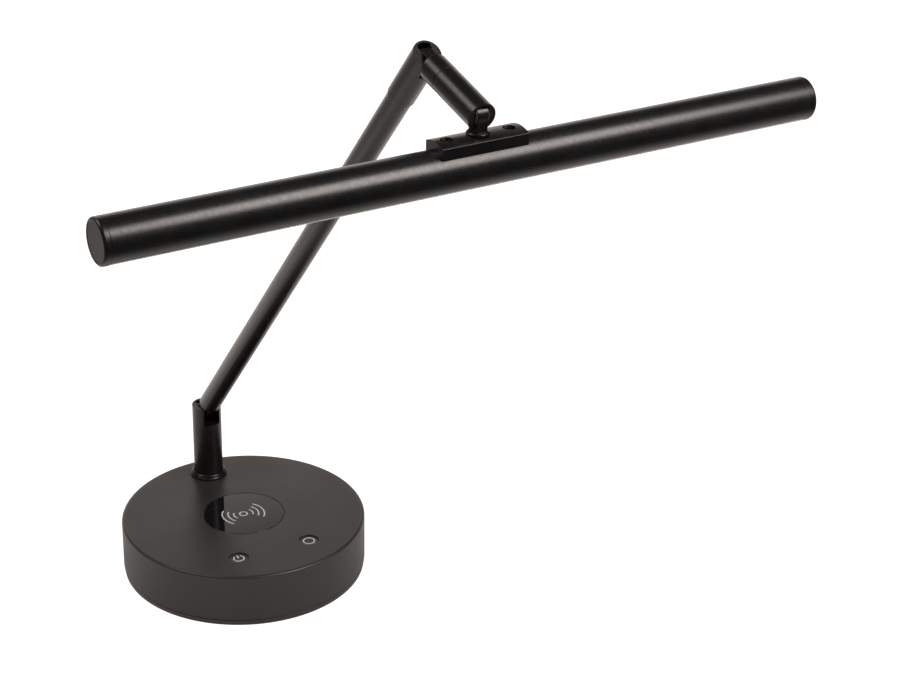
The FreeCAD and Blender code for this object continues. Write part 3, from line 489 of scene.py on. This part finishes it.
INK = printed_ink("symbol_ink", (0.5, 0.5, 0.48), (0.62, 0.62, 0.6))

for row in frame["record"]["subparts"]:
    mesh = frame["nodes"][row["node"]].data
    mesh.materials.clear()
    mesh.materials.append(MATERIALS[row["material_slot"]])

# ---------------------------------------------------------------- base

BASE_RADIUS = 90.5
BASE_TOP = 41.5
BASE_UNDERSIDE = 38.5
ABOVE_BASE = 43.5
BELOW_COVER = 30
DISC_SEAT = 39.65
DISC_TOP = 41.4
BUTTONS = {"power_button": -27.8, "mode_button": 27.8}
BUTTON_Y = -56.5
WELL_RADIUS = 7.1
WELL_LIP = 0.45
INLET_HEIGHT = 12.9
PAD_RINGS = 12


def shaft(name, profile, x=0.0, y=0.0, segments=96):
    """Upright turned shape at a place on the base."""
    return place(lathe(name, profile, segments), Matrix.Translation((x, y, 0)))


def rolled_lip(radius, height, size, angles):
    """Rim of an opening that rolls outwards up to the surface."""
    return [(radius + size * (1 - math.cos(a)), height + size * math.sin(a)) for a in angles]


def to_inlet(thing):
    """Turns a shape about Z so that it points out of the back, at the inlet."""
    height = Matrix.Translation((0, 0, INLET_HEIGHT))
    return place(thing, height @ Matrix.Rotation(math.radians(-90), 4, "X"))


cover = lathe(
    "cover",
    soften(
        [
            (0, BASE_TOP),
            (60, BASE_TOP),
            (86, BASE_TOP),
            (BASE_RADIUS, BASE_TOP, 2.0),
            (BASE_RADIUS, 30),
            (BASE_RADIUS, 5.3, 0.35),
            (87.5, 5.3, 0.2),
            (87.5, BASE_UNDERSIDE, 1.0),
            (0, BASE_UNDERSIDE),
        ],
        6,
        closed=False,
    ),
    256,
    closed=False,
)
seat = shaft(
    "seat_cutter",
    [(0, BELOW_COVER), (26, BELOW_COVER), (26, DISC_SEAT), (30.55, DISC_SEAT)]
    + rolled_lip(30.55, 41.25, 0.25, (0, 0.5, 1.0, 1.5708))
    + [(30.8, ABOVE_BASE), (0, ABOVE_BASE)],
    segments=192,
)
carve(cover, seat)
for x in BUTTONS.values():
    well = [(0, BELOW_COVER), (WELL_RADIUS, BELOW_COVER)]
    well += rolled_lip(WELL_RADIUS, 41.05, WELL_LIP, (0, 0.3, 0.6, 0.9, 1.2, 1.5708))
    well += [(7.55, ABOVE_BASE), (0, ABOVE_BASE)]
    carve(cover, shaft("well_cutter", well, x, BUTTON_Y))
hole = [(0, BELOW_COVER), (9.02, BELOW_COVER), (9.02, ABOVE_BASE), (0, ABOVE_BASE)]
carve(cover, shaft("post_hole", hole, 0, POST_FOOT.y / MM))
inlet = lathe("inlet_cutter", soften([(0, 80), (4.1, 80), (4.1, 90.1), (4.6, 91.5), (0, 91.5)], 2), 64)
carve(cover, to_inlet(inlet))
finish_piece(cover, BASE, "base", "base_black", "base_cover")

plate = lathe(
    "closing_plate",
    soften(
        [
            (0, 1.6),
            (84.1, 1.6),
            (84.1, 0.8),
            (89.8, 0.8, 0.5),
            (90.4, 5.0, 0.25),
            (87.35, 5.0),
            (87.35, 7.5),
            (84.55, 7.5),
            (84.55, 5.0),
            (0, 5.0),
        ],
        5,
        closed=False,
    ),
    256,
    closed=False,
)
finish_piece(plate, BASE, "base", "base_black", "bottom_plate")

pad_rings = []
for i in range(PAD_RINGS):
    r = 8.0 + 6.0 * i
    pad_rings += [(r, 0), (r + 0.35, 0.25), (r + 0.75, 0.25), (r + 1.1, 0)]
foot = lathe(
    "foot_mat",
    soften([(0, 0)] + pad_rings + [(84, 0, 0.6), (84, 1.6), (0, 1.6)], 4, closed=False),
    192,
    closed=False,
)
finish_piece(foot, BASE, "base", "foot_rubber", "foot_pad")

disc = lathe(
    "glass_disc",
    soften(
        [(0, DISC_SEAT), (30.15, DISC_SEAT), (30.15, DISC_TOP, 0.3), (15, DISC_TOP), (0, DISC_TOP)],
        4,
        closed=False,
    ),
    192,
    closed=False,
)
finish_piece(disc, BASE, "base", "gloss_black", "charging_disc")


def stroke(bm, path, width, z, thick=0.03):
    """A printed line along a path, with round ends."""
    half = width / 2
    points = [Vector(p) for p in path]
    closed = (points[0] - points[-1]).length < 1e-6
    if closed:
        points = points[:-1]
    left, right = [], []
    total = len(points)
    for i, point in enumerate(points):
        if closed:
            direction = points[(i + 1) % total] - points[i - 1]
        else:
            direction = points[min(i + 1, total - 1)] - points[max(i - 1, 0)]
        side = Vector((-direction.y, direction.x)).normalized() * half
        left.append(point + side)
        right.append(point - side)
    if closed:
        low = [[bm.verts.new((p.x, p.y, z)) for p in row] for row in (left, right)]
        high = [[bm.verts.new((p.x, p.y, z + thick)) for p in row] for row in (left, right)]
        for i in range(total):
            k = (i + 1) % total
            bm.faces.new((low[0][i], low[0][k], low[1][k], low[1][i]))
            bm.faces.new((high[0][i], high[1][i], high[1][k], high[0][k]))
            for row in range(2):
                bm.faces.new((low[row][i], high[row][i], high[row][k], low[row][k]))
        return
    outline = list(left)
    for centre, start in ((points[-1], left[-1]), (points[0], right[0])):
        spoke = start - centre
        for k in range(1, 8):
            outline.append(centre + Matrix.Rotation(-math.pi * k / 8, 2) @ spoke)
        if centre is points[-1]:
            outline += right[::-1]
    low = [bm.verts.new((p.x, p.y, z)) for p in outline]
    high = [bm.verts.new((p.x, p.y, z + thick)) for p in outline]
    bm.faces.new(low[::-1])
    bm.faces.new(high)
    for i in range(len(outline)):
        k = (i + 1) % len(outline)
        bm.faces.new((low[i], low[k], high[k], high[i]))


def symbol(name, body, paths, width, z, thick=0.03):
    """Printed strokes, as one piece."""
    def build(bm):
        for path in paths:
            stroke(bm, path, width, z, thick)

    thing = new_mesh(name, build)
    finish_piece(thing, BASE, body, "gloss_black")
    thing.data.materials.clear()
    thing.data.materials.append(INK)
    return thing


SYMBOL_CENTRE = (-0.5, -0.6)
WAVES = ((7.3, 29), (11.5, 36), (15.8, 40))
waves = [arc(SYMBOL_CENTRE, 2.85, 0, 360, 48)]
for radius, half_angle in WAVES:
    for middle in (0, 180):
        waves.append(arc(SYMBOL_CENTRE, radius, middle - half_angle, middle + half_angle, 24))
symbol("charging_symbol", "base", waves, 1.0, 41.405)

# ---------------------------------------------------------------- buttons

for name, x in BUTTONS.items():
    bowl = [(6.65 * (1 - i / 8), 40.7 - 0.3 * (1 - (1 - i / 8) ** 2)) for i in range(9)]
    cap = lathe(
        name + "_cap",
        [(0, 36.9), (8.2, 36.9), (8.2, 38.4), (6.95, 38.4)] + arc((6.65, 40.4), 0.3, 0, 80, 4) + bowl,
        96,
        closed=False,
    )
    place(cap, Matrix.Translation((x, BUTTON_Y, 0)))
    finish_piece(cap, BASE, name, "button_black", name)

BUTTON_PRINT = {"width": 0.95, "z": 40.48, "thick": 0.12}
POWER_GAP = 38
x = BUTTONS["power_button"]
ring = arc((x, BUTTON_Y), 3.7, 90 + POWER_GAP, 450 - POWER_GAP, 40)
bar = [(x, BUTTON_Y + 0.6), (x, BUTTON_Y + 4.0)]
symbol("power_symbol", "power_button", [ring, bar], **BUTTON_PRINT)
x = BUTTONS["mode_button"]
symbol("mode_symbol", "mode_button", [arc((x, BUTTON_Y), 4.1, 0, 360, 48)], **BUTTON_PRINT)

# ---------------------------------------------------------------- post

collar = lathe(
    "foot_collar",
    soften(
        [
            (11.0, 41.5),
            (13.6, 41.5, 0.1),
            (13.8, 42.7, 1.2),
            (13.0, 43.8, 0.5),
            (12.7, 43.8, 0.12),
            (12.7, 45.0, 0.9),
            (11.9, 45.7, 0.6),
            (11.0, 45.7, 0.2),
        ],
        5,
    ),
    160,
)
finish_piece(collar, POST_SEAT, "base", "black_enamel", "post_collar")

POST_RADIUS = 10.9
ROD_RADIUS = 8.9
ARM_RADIUS = 8.05
SLOT_HALF = 4.2
POST_SLOT_HALF = 6.3
SLOT_WALL = 1.4
SLOT_DEPTH = 9.8
POST_SPACER = 2.05


def pin_seat(radius, height):
    """The sunk seat of a hinge pin's head, as a shell to cut away."""
    profile = [
        (0, -radius + 2),
        (2.02, -radius + 2),
        (2.02, radius - 2.1),
        (3.2, radius - 2.1),
        (3.2, radius + 2),
        (0, radius + 2),
    ]
    return place(lathe("pin_cutter", profile, 48, "X"), Matrix.Translation((0, 0, height)))


def hinge_pin(name, radius, matrix, body, node):
    """Pin whose head sits in its counterbore, with a hexagon socket."""
    outer = radius - 0.8
    corners = [
        (0, 2.2 - radius),
        (2.0, 2.2 - radius, 0.3),
        (2.0, outer - 1.3),
        (3.1, outer - 1.3),
        (3.1, outer, 0.35),
        (0, outer),
    ]
    pin = lathe(name, soften(corners, 4, closed=False), 64, "X", closed=False)
    hexagon = [(0, outer - 1.1), (1.55, outer - 1.1), (1.55, outer + 1), (0, outer + 1)]
    socket = lathe("socket", hexagon, 6, "X")
    carve(pin, socket)
    return finish_piece(pin, matrix, body, "screw_steel", node)


def washers(name, matrix, body, node, half=SLOT_HALF, thick=0.45):
    """The two spacers that fill a slot beside its tongue."""
    rings = []
    for start in (-half, half - thick):
        end = start + thick
        profile = soften([(2.1, start), (5.4, start, 0.12), (5.4, end, 0.12), (2.1, end)], 2)
        rings.append(lathe("ring", profile, 72, "X"))
    return finish_piece(join(name, rings), matrix, body, "inner_plastic", node)


def tongue(name, radius, reach, width=None, half=3.7):
    """Flat blade with a round end."""
    width = radius if width is None else width
    start = math.degrees(math.asin(min(width / radius, 1.0)))
    outline = [(width, reach), (-width, reach)] if reach > 0 else [(-width, reach), (width, reach)]
    if reach > 0:
        outline += arc((0, 0), radius, 90 + start, 450 - start, 56)
    else:
        outline += arc((0, 0), radius, -90 + start, 270 - start, 56)
    blade = extrude(name, outline, -half, half)
    return carve(blade, lathe("eye", [(0, -6), (2.05, -6), (2.05, 6), (0, 6)], 40, "X"))


POST_SPLIT = 60
slot_floor = PIN_HEIGHT - SLOT_DEPTH
post_end = clevis(
    "post_upper", POST_RADIUS, POST_SPLIT, slot_floor, PIN_HEIGHT + 4, POST_SLOT_HALF, SLOT_WALL
)
carve(post_end, pin_seat(POST_RADIUS, PIN_HEIGHT))
bevel(post_end, 0.3)
post_base = lathe(
    "post_lower",
    [
        (3, 19),
        (6, 19),
        (6, 26.4),
        (7, 26.4),
        (7, 41.55),
        (POST_RADIUS, 41.55),
        (POST_RADIUS, POST_SPLIT),
        (3, POST_SPLIT),
    ],
    128,
)
post = join("post", [post_base, post_end])
finish_piece(post, POST, "post", "black_enamel", "post_tube")
hinge_pin("lower_hinge_pin", POST_RADIUS, POST_TOP, "post", "arm_pin")
washers("lower_hinge_washers", POST_TOP, "post", "arm_washers", POST_SLOT_HALF, POST_SPACER)

# ---------------------------------------------------------------- arm

arm_blade = bevel(tongue("arm_blade", 7.3, 10.7, half=4.2), 0.7)
plug = soften([(0, 10.6), (6.7, 10.6), (6.7, 30.7, 0.5), (0, 30.7)], 3, closed=False)
arm_plug = lathe("arm_plug", plug, 64, closed=False)
finish_piece(join("arm_foot", [arm_blade, arm_plug]), ARM, "arm", "black_enamel", "arm_tongue")

SLEEVE_START = ARM_LENGTH - 41
SLEEVE_CORE = ARM_LENGTH - 15
tube_end = SLEEVE_START + 18
tube_wall = soften(
    [(6.75, 10.7), (ARM_RADIUS, 10.7, 0.45), (ARM_RADIUS, 13), (ARM_RADIUS, tube_end), (6.75, tube_end)], 5
)
finish_piece(lathe("arm_rod", tube_wall, 128), ARM, "arm", "black_enamel", "arm_tube")

sleeve_end = clevis("sleeve_upper", ROD_RADIUS, -15, -8.0, 5, SLOT_HALF, SLOT_WALL)
carve(sleeve_end, pin_seat(ROD_RADIUS, 0))
bevel(sleeve_end, 0.3)
place(sleeve_end, Matrix.Translation((0, 0, ARM_LENGTH)))
sleeve_body = lathe(
    "sleeve_lower",
    soften(
        [
            (ARM_RADIUS, SLEEVE_START),
            (ROD_RADIUS, SLEEVE_START, 0.6),
            (ROD_RADIUS, SLEEVE_START + 3),
            (ROD_RADIUS, SLEEVE_CORE),
            (0, SLEEVE_CORE),
            (0, ARM_LENGTH - 20),
            (ARM_RADIUS, ARM_LENGTH - 20),
        ],
        5,
    ),
    128,
)
finish_piece(join("sleeve", [sleeve_body, sleeve_end]), ARM, "arm", "black_enamel", "arm_sleeve")
hinge_pin("middle_hinge_pin", ROD_RADIUS, ARM_END, "arm", "link_pin")
washers("middle_hinge_washers", ARM_END, "arm", "link_washers")

# ---------------------------------------------------------------- link

link_blade = bevel(tongue("link_blade", 5.9, 10.9), 0.6)
collar_outline = soften(
    [(0, 10.7), (ROD_RADIUS, 10.7, 0.45), (ROD_RADIUS, 25.5, 0.2), (7.1, 25.5), (7.1, 37.5), (0, 37.5)],
    4,
    closed=False,
)
link_collar = lathe("link_collar", collar_outline, 128, closed=False)
finish_piece(join("link_foot", [link_blade, link_collar]), LINK, "link", "black_enamel", "link_tongue")

LINK_SPLIT = LINK_LENGTH - 15
slot_floor = LINK_LENGTH - SLOT_DEPTH
link_end = clevis(
    "link_upper", ROD_RADIUS, LINK_SPLIT, slot_floor, LINK_LENGTH + 4, SLOT_HALF, SLOT_WALL
)
carve(link_end, pin_seat(ROD_RADIUS, LINK_LENGTH))
bevel(link_end, 0.65, 4)
link_wall = soften(
    [(7.15, 25.7), (ROD_RADIUS, 25.7, 0.2), (ROD_RADIUS, 29), (ROD_RADIUS, LINK_SPLIT), (7.15, LINK_SPLIT)], 4
)
link_body = lathe("link_lower", link_wall, 128)
finish_piece(join("link_rod", [link_body, link_end]), LINK, "link", "black_enamel", "link_tube")
hinge_pin("upper_hinge_pin", ROD_RADIUS, LINK_END, "link", "neck_pin")
washers("upper_hinge_washers", LINK_END, "link", "neck_washers")

# ---------------------------------------------------------------- neck and saddle

neck_blade = bevel(tongue("neck_blade", 5.9, -10.2, 4.6), 1.5, 6)
flange_outline = soften(
    [
        (0, -9.7),
        (5.7, -9.7, 0.4),
        (6.9, -10.5, 0.7),
        (6.9, -11.3, 0.15),
        (3.5, -11.3),
        (3.5, -24.5),
        (0, -24.5),
    ],
    4,
    closed=False,
)
neck_flange = lathe("neck_flange", flange_outline, 96, closed=False)
finish_piece(join("neck", [neck_blade, neck_flange]), HEAD, "neck", "black_enamel", "neck_stem")

TUBE_DROP = 30.2
TUBE_SHIFT = 1.7
TUBE_RADIUS = 13.4
SEAT_RADIUS = 13.42
SADDLE_HALF = 9.2
SADDLE_REACH = 28.3
SADDLE_EDGE = -13.6
SCREW_REACH = 20.5
seat_angle = math.degrees(math.acos(SADDLE_HALF / SEAT_RADIUS))
crown_rise = 1.65
crown_half = SADDLE_HALF - 0.5
crown_radius = (crown_half**2 + crown_rise**2) / (2 * crown_rise)
crown_angle = math.degrees(math.asin(crown_half / crown_radius))
section = arc((0, -TUBE_DROP), SEAT_RADIUS, 180 - seat_angle, seat_angle, 24)
section += [(SADDLE_HALF, SADDLE_EDGE)]
section += arc((0, -11.45 - crown_radius), crown_radius, 90 - crown_angle, 90 + crown_angle, 24)
section += [(-SADDLE_HALF, SADDLE_EDGE)]
saddle = extrude("saddle_block", section, -SADDLE_REACH, SADDLE_REACH)
for side in (-1, 1):
    screw_place = Matrix.Translation((side * SCREW_REACH, 0, 0))
    sink = [(0, -15.3), (3.7, -15.3)]
    sink += rolled_lip(3.7, -11.9, 0.3, (0, 0.4, 0.8, 1.2, 1.57))
    sink += [(4.0, -9), (0, -9)]
    carve(saddle, place(lathe("sink", sink, 64), screw_place))
    carve(saddle, place(lathe("hole", [(0, -30), (1.7, -30), (1.7, -14), (0, -14)], 32), screw_place))
bevel(saddle, 0.55, 4, 28)
boss_outline = soften([(3.55, -13.5), (5.8, -13.5), (5.8, -11.35, 0.15), (3.55, -11.35)], 3)
boss = lathe("saddle_boss", boss_outline, 96)
finish_piece(join("saddle_block", [saddle, boss]), HEAD, "head", "black_enamel", "saddle")

screws = []
screw_outline = soften(
    [(0, -23.5), (1.5, -23.5), (1.5, -15.3), (3.0, -15.3, 0.1), (3.0, -13.5, 0.7), (0, -13.5)],
    4,
    closed=False,
)
for side in (-1, 1):
    screw = lathe("screw", screw_outline, 64, closed=False)
    carve(screw, lathe("drive", [(0, -14.7), (1.3, -14.7), (1.3, -12), (0, -12)], 6))
    screws.append(place(screw, Matrix.Translation((side * SCREW_REACH, 0, 0))))
finish_piece(join("saddle_fixings", screws), HEAD, "head", "screw_brass", "saddle_screws")

# ---------------------------------------------------------------- light tube

HALF_TUBE = 230.0
TUBE_BORE = 12.2
OPENING_HALF = 9.0
LENS_HALF = 8.9
LENS_OUTER = 13.3
LENS_INNER = 11.7
CAP_REACH = 1.7
LAMP = HEAD @ Matrix.Translation((TUBE_SHIFT, 0, 0))
opening = math.degrees(math.asin(OPENING_HALF / TUBE_RADIUS))
opening_in = math.degrees(math.asin(OPENING_HALF / TUBE_BORE))
shell = arc((0, -TUBE_DROP), TUBE_RADIUS, -90 + opening, 270 - opening, 128)
shell += arc((0, -TUBE_DROP), TUBE_BORE, 270 - opening_in, -90 + opening_in, 128)
tube = extrude("tube_shell", shell, CAP_REACH - HALF_TUBE, HALF_TUBE - CAP_REACH)
bevel(tube, 0.2, 2, 40)
finish_piece(tube, LAMP, "head", "tube_black", "light_tube")

lens_outer = math.degrees(math.asin(LENS_HALF / LENS_OUTER))
lens_inner = math.degrees(math.asin(LENS_HALF / LENS_INNER))
lens = arc((0, -TUBE_DROP), LENS_OUTER, -90 - lens_outer, -90 + lens_outer, 40)
lens += arc((0, -TUBE_DROP), LENS_INNER, -90 + lens_inner, -90 - lens_inner, 40)
strip = extrude("opal_lens", lens, CAP_REACH + 0.2 - HALF_TUBE, HALF_TUBE - CAP_REACH - 0.2)
bevel(strip, 0.25, 2, 40)
finish_piece(strip, LAMP, "head", "opal", "diffuser")

for name, side in (("end_cap_left", -1), ("end_cap_right", 1)):
    cap = lathe(
        name + "_plug",
        soften(
            [
                (0, -6),
                (11.0, -6),
                (11.0, -CAP_REACH),
                (TUBE_RADIUS, -CAP_REACH, 0.25),
                (TUBE_RADIUS, 2.5, 1.5),
                (11.4, 2.5, 0.2),
                (11.2, 2.3, 0.15),
                (0, 2.3),
            ],
            5,
            closed=False,
        ),
        160,
        "X",
        closed=False,
    )
    turn = Matrix.Rotation(math.pi if side < 0 else 0, 4, "Z")
    place(cap, Matrix.Translation((side * HALF_TUBE, 0, -TUBE_DROP)) @ turn)
    finish_piece(cap, LAMP, "head", "tube_black", name)

# ---------------------------------------------------------------- power inlet

jack = lathe(
    "inlet",
    soften(
        [
            (0, 75.5),
            (4.6, 75.5),
            (4.6, 86.9),
            (4.0, 86.9),
            (4.0, 89.9, 0.3),
            (3.1, 89.9, 0.2),
            (3.1, 79.9),
            (1.05, 79.9),
            (1.05, 88.9, 0.4),
            (0, 88.9),
        ],
        3,
        closed=False,
    ),
    64,
    closed=False,
)
to_inlet(jack)
finish_piece(jack, BASE, "base", "gloss_black", "power_jack")

# ---------------------------------------------------------------- stage

# The colour of the floor in plain light, what the camera sees added to it, and the tint of the lights.
FLOOR_TINT = (0.35, 0.35, 0.35)
FLOOR_SEEN = 1.0
WARM = (1.07, 0.99, 0.94, 1)
# Stops of (metres, strength) for the glow in reflections: along Y, along X, up Z, and from the middle, where the
# last dims the glow around the base as a painted contact shadow.
FLOOR_GLOW = [(-1.0, 0.01), (-0.7, 0.04), (-0.45, 0.5), (-0.3, 0.85), (0.1, 1.15), (3.3, 1.15)]
SIDE_GLOW = [(-0.62, 0.25), (-0.5, 0.4), (-0.3, 1.0), (4.0, 1.0)]
BACK_GLOW = [(-0.1, 1.0), (1.6, 1.0), (2.3, 0.35), (3.2, 0.1)]
PAINTED_CONTACT_SHADOW = [(0.09, 0.45), (0.16, 0.6), (0.3, 1.0), (9.0, 1.0)]
WORLD_LIGHT = 0.6
WORLD_IN_REFLECTIONS = 0.03


def spans(n, source, stops):
    """Follows a line of (position, strength) stops."""
    low, high = stops[0][0], stops[-1][0]
    scaled = n.add("ShaderNodeMapRange")
    scaled.inputs["From Min"].default_value = low
    scaled.inputs["From Max"].default_value = high
    n.link(source, scaled.inputs["Value"])
    ramp = n.add("ShaderNodeValToRGB")
    ramp.color_ramp.interpolation = "EASE"
    elements = ramp.color_ramp.elements
    while len(elements) < len(stops):
        elements.new(0.5)
    for element, (place_at, strength) in zip(elements, stops):
        element.position = (place_at - low) / (high - low)
        element.color = (strength, strength, strength, 1)
    n.link(scaled.outputs["Result"], ramp.inputs["Fac"])
    return ramp.outputs["Color"]


def studio_material():
    """Sweep that is evenly white to the camera. In reflections it glows by the stops above."""
    n = Nodes("studio_white")
    tint = n.colours(n.noise(3.0, 4.0, 0.5), FLOOR_TINT, FLOOR_TINT)
    n.set(Base_Color=tint, Roughness=0.8, Specular_IOR_Level=0.1)
    position = n.add("ShaderNodeNewGeometry").outputs["Position"]
    parts = n.add("ShaderNodeSeparateXYZ")
    n.link(position, parts.inputs["Vector"])
    away = n.add("ShaderNodeVectorMath", operation="LENGTH")
    n.link(position, away.inputs[0])
    rays = n.add("ShaderNodeLightPath")
    strength = spans(n, parts.outputs["Y"], FLOOR_GLOW)
    strength = n.math("MULTIPLY", strength, spans(n, parts.outputs["Z"], BACK_GLOW))
    strength = n.math("MULTIPLY", strength, spans(n, parts.outputs["X"], SIDE_GLOW))
    # Painted contact shadow: the glow in reflections is dimmed close around the base.
    strength = n.math("MULTIPLY", strength, spans(n, away.outputs["Value"], PAINTED_CONTACT_SHADOW))
    strength = n.math("MULTIPLY", strength, rays.outputs["Is Glossy Ray"])
    strength = n.math("MULTIPLY_ADD", rays.outputs["Is Camera Ray"], FLOOR_SEEN, strength)
    glow = n.add("ShaderNodeEmission")
    glow.inputs["Color"].default_value = WARM
    n.link(strength, glow.inputs["Strength"])
    plain = n.add("ShaderNodeMixShader")
    dark = n.add("ShaderNodeBsdfTransparent")
    dark.inputs["Color"].default_value = (0, 0, 0, 1)
    n.link(rays.outputs["Is Glossy Ray"], plain.inputs["Fac"])
    n.link(n.shader.outputs[0], plain.inputs[1])
    n.link(dark.outputs[0], plain.inputs[2])
    total = n.add("ShaderNodeAddShader")
    n.link(plain.outputs[0], total.inputs[0])
    n.link(glow.outputs[0], total.inputs[1])
    n.link(total.outputs[0], n.tree.nodes["Material Output"].inputs["Surface"])
    return n.material


def build_floor(bm):
    """Floor that curves up into a backdrop behind the object."""
    half, front, back, height, bend = 4.0, -3.5, 3.2, 3.0, 1.0
    path = [(front, 0.0), (back - bend, 0.0)]
    turns = [math.pi / 2 * i / 12 for i in range(1, 13)]
    path += [(back - bend + bend * math.sin(a), bend - bend * math.cos(a)) for a in turns]
    path.append((back, height))
    rows = [[bm.verts.new((x, y, z)) for x in (-half, half)] for y, z in path]
    for low, high in zip(rows, rows[1:]):
        bm.faces.new((low[0], low[1], high[1], high[0]))


floor = new_mesh("studio_floor", build_floor)
floor.data.materials.append(studio_material())
for polygon in floor.data.polygons:
    polygon.use_smooth = True



def build_world():
    """White sky that lights evenly, but is nearly dark in reflections."""
    world = bpy.data.worlds.new("studio")
    bpy.context.scene.world = world
    world.use_nodes = True
    nodes = world.node_tree.nodes
    link = world.node_tree.links.new
    background = nodes["Background"]
    background.inputs["Color"].default_value = (1, 1, 1, 1)
    rays = nodes.new("ShaderNodeLightPath")
    strength = nodes.new("ShaderNodeMapRange")
    strength.inputs["To Min"].default_value = WORLD_LIGHT
    strength.inputs["To Max"].default_value = WORLD_IN_REFLECTIONS
    seen = nodes.new("ShaderNodeMath")
    seen.operation = "MULTIPLY_ADD"
    seen.inputs[1].default_value = FLOOR_SEEN
    link(rays.outputs["Is Glossy Ray"], strength.inputs["Value"])
    link(rays.outputs["Is Camera Ray"], seen.inputs[0])
    link(strength.outputs["Result"], seen.inputs[2])
    link(seen.outputs[0], background.inputs["Strength"])


build_world()
bpy.context.scene.view_settings.view_transform = "Standard"


def softbox(name, location, target, size, strength, edge=0.35):
    """Glowing panel that fades towards its edge."""
    n = Nodes(name)
    centre = n.add("ShaderNodeVectorMath", operation="LENGTH")
    n.link(n.where, centre.inputs[0])
    fade = n.add("ShaderNodeMapRange", interpolation_type="SMOOTHSTEP")
    fade.inputs["From Min"].default_value = 0.5
    fade.inputs["From Max"].default_value = 0.5 * edge
    fade.inputs["To Min"].default_value = 0.0
    fade.inputs["To Max"].default_value = strength
    n.link(centre.outputs["Value"], fade.inputs["Value"])
    glow = n.add("ShaderNodeEmission")
    glow.inputs["Color"].default_value = WARM
    n.link(fade.outputs["Result"], glow.inputs["Strength"])
    n.link(glow.outputs[0], n.tree.nodes["Material Output"].inputs["Surface"])
    turns = [math.pi * i / 24 for i in range(48)]
    disc = [(0.5 * math.cos(a), 0.5 * math.sin(a), 0) for a in turns]
    panel = new_mesh(name, lambda bm: bm.faces.new([bm.verts.new(corner) for corner in disc]))
    panel.data.materials.append(n.material)
    panel.scale = (size[0], size[1], 1)
    panel.location = location
    aim = Vector(target) - Vector(location)
    panel.rotation_euler = aim.to_track_quat("-Z", "Y").to_euler()
    return panel


LAMP_BAR = Vector((0.02, -0.33, 0.44))
LIGHT_DISTANCE = 1.5
KEY_WAY = Vector((0.46, -0.55, 0.695))
RIM_WAY = Vector((-0.56, 0.42, 0.71))
softbox("key", LAMP_BAR + KEY_WAY * LIGHT_DISTANCE, LAMP_BAR, (1.35, 1.35), 8.5)
softbox("rim", LAMP_BAR + RIM_WAY * LIGHT_DISTANCE, LAMP_BAR, (1.1, 1.1), 4.0)

# ---------------------------------------------------------------- camera

ELEVATION = math.radians(25.94)
AZIMUTH = math.radians(-28.3)
ROLL = math.radians(1.04)
CAMERA_PLACE = Vector((-0.5479, -1.3386, 0.8906))
SENSOR = 36.0
LENS = 88.858

level = Vector((math.sin(AZIMUTH), -math.cos(AZIMUTH), 0))
back = level * math.cos(ELEVATION) + Vector((0, 0, math.sin(ELEVATION)))
right = Vector((math.cos(AZIMUTH), math.sin(AZIMUTH), 0))
up = back.cross(right)
roll_right = right * math.cos(ROLL) + up * math.sin(ROLL)
roll_up = up * math.cos(ROLL) - right * math.sin(ROLL)
camera_data = bpy.data.cameras.new("camera")
camera_data.sensor_width = SENSOR
camera_data.lens = LENS
camera_data.clip_end = 50
camera = bpy.data.objects.new("camera", camera_data)
turned = Matrix((roll_right, roll_up, back)).transposed().to_4x4()
camera.matrix_world = Matrix.Translation(CAMERA_PLACE) @ turned
bpy.context.scene.collection.objects.link(camera)
bpy.context.scene.camera = camera
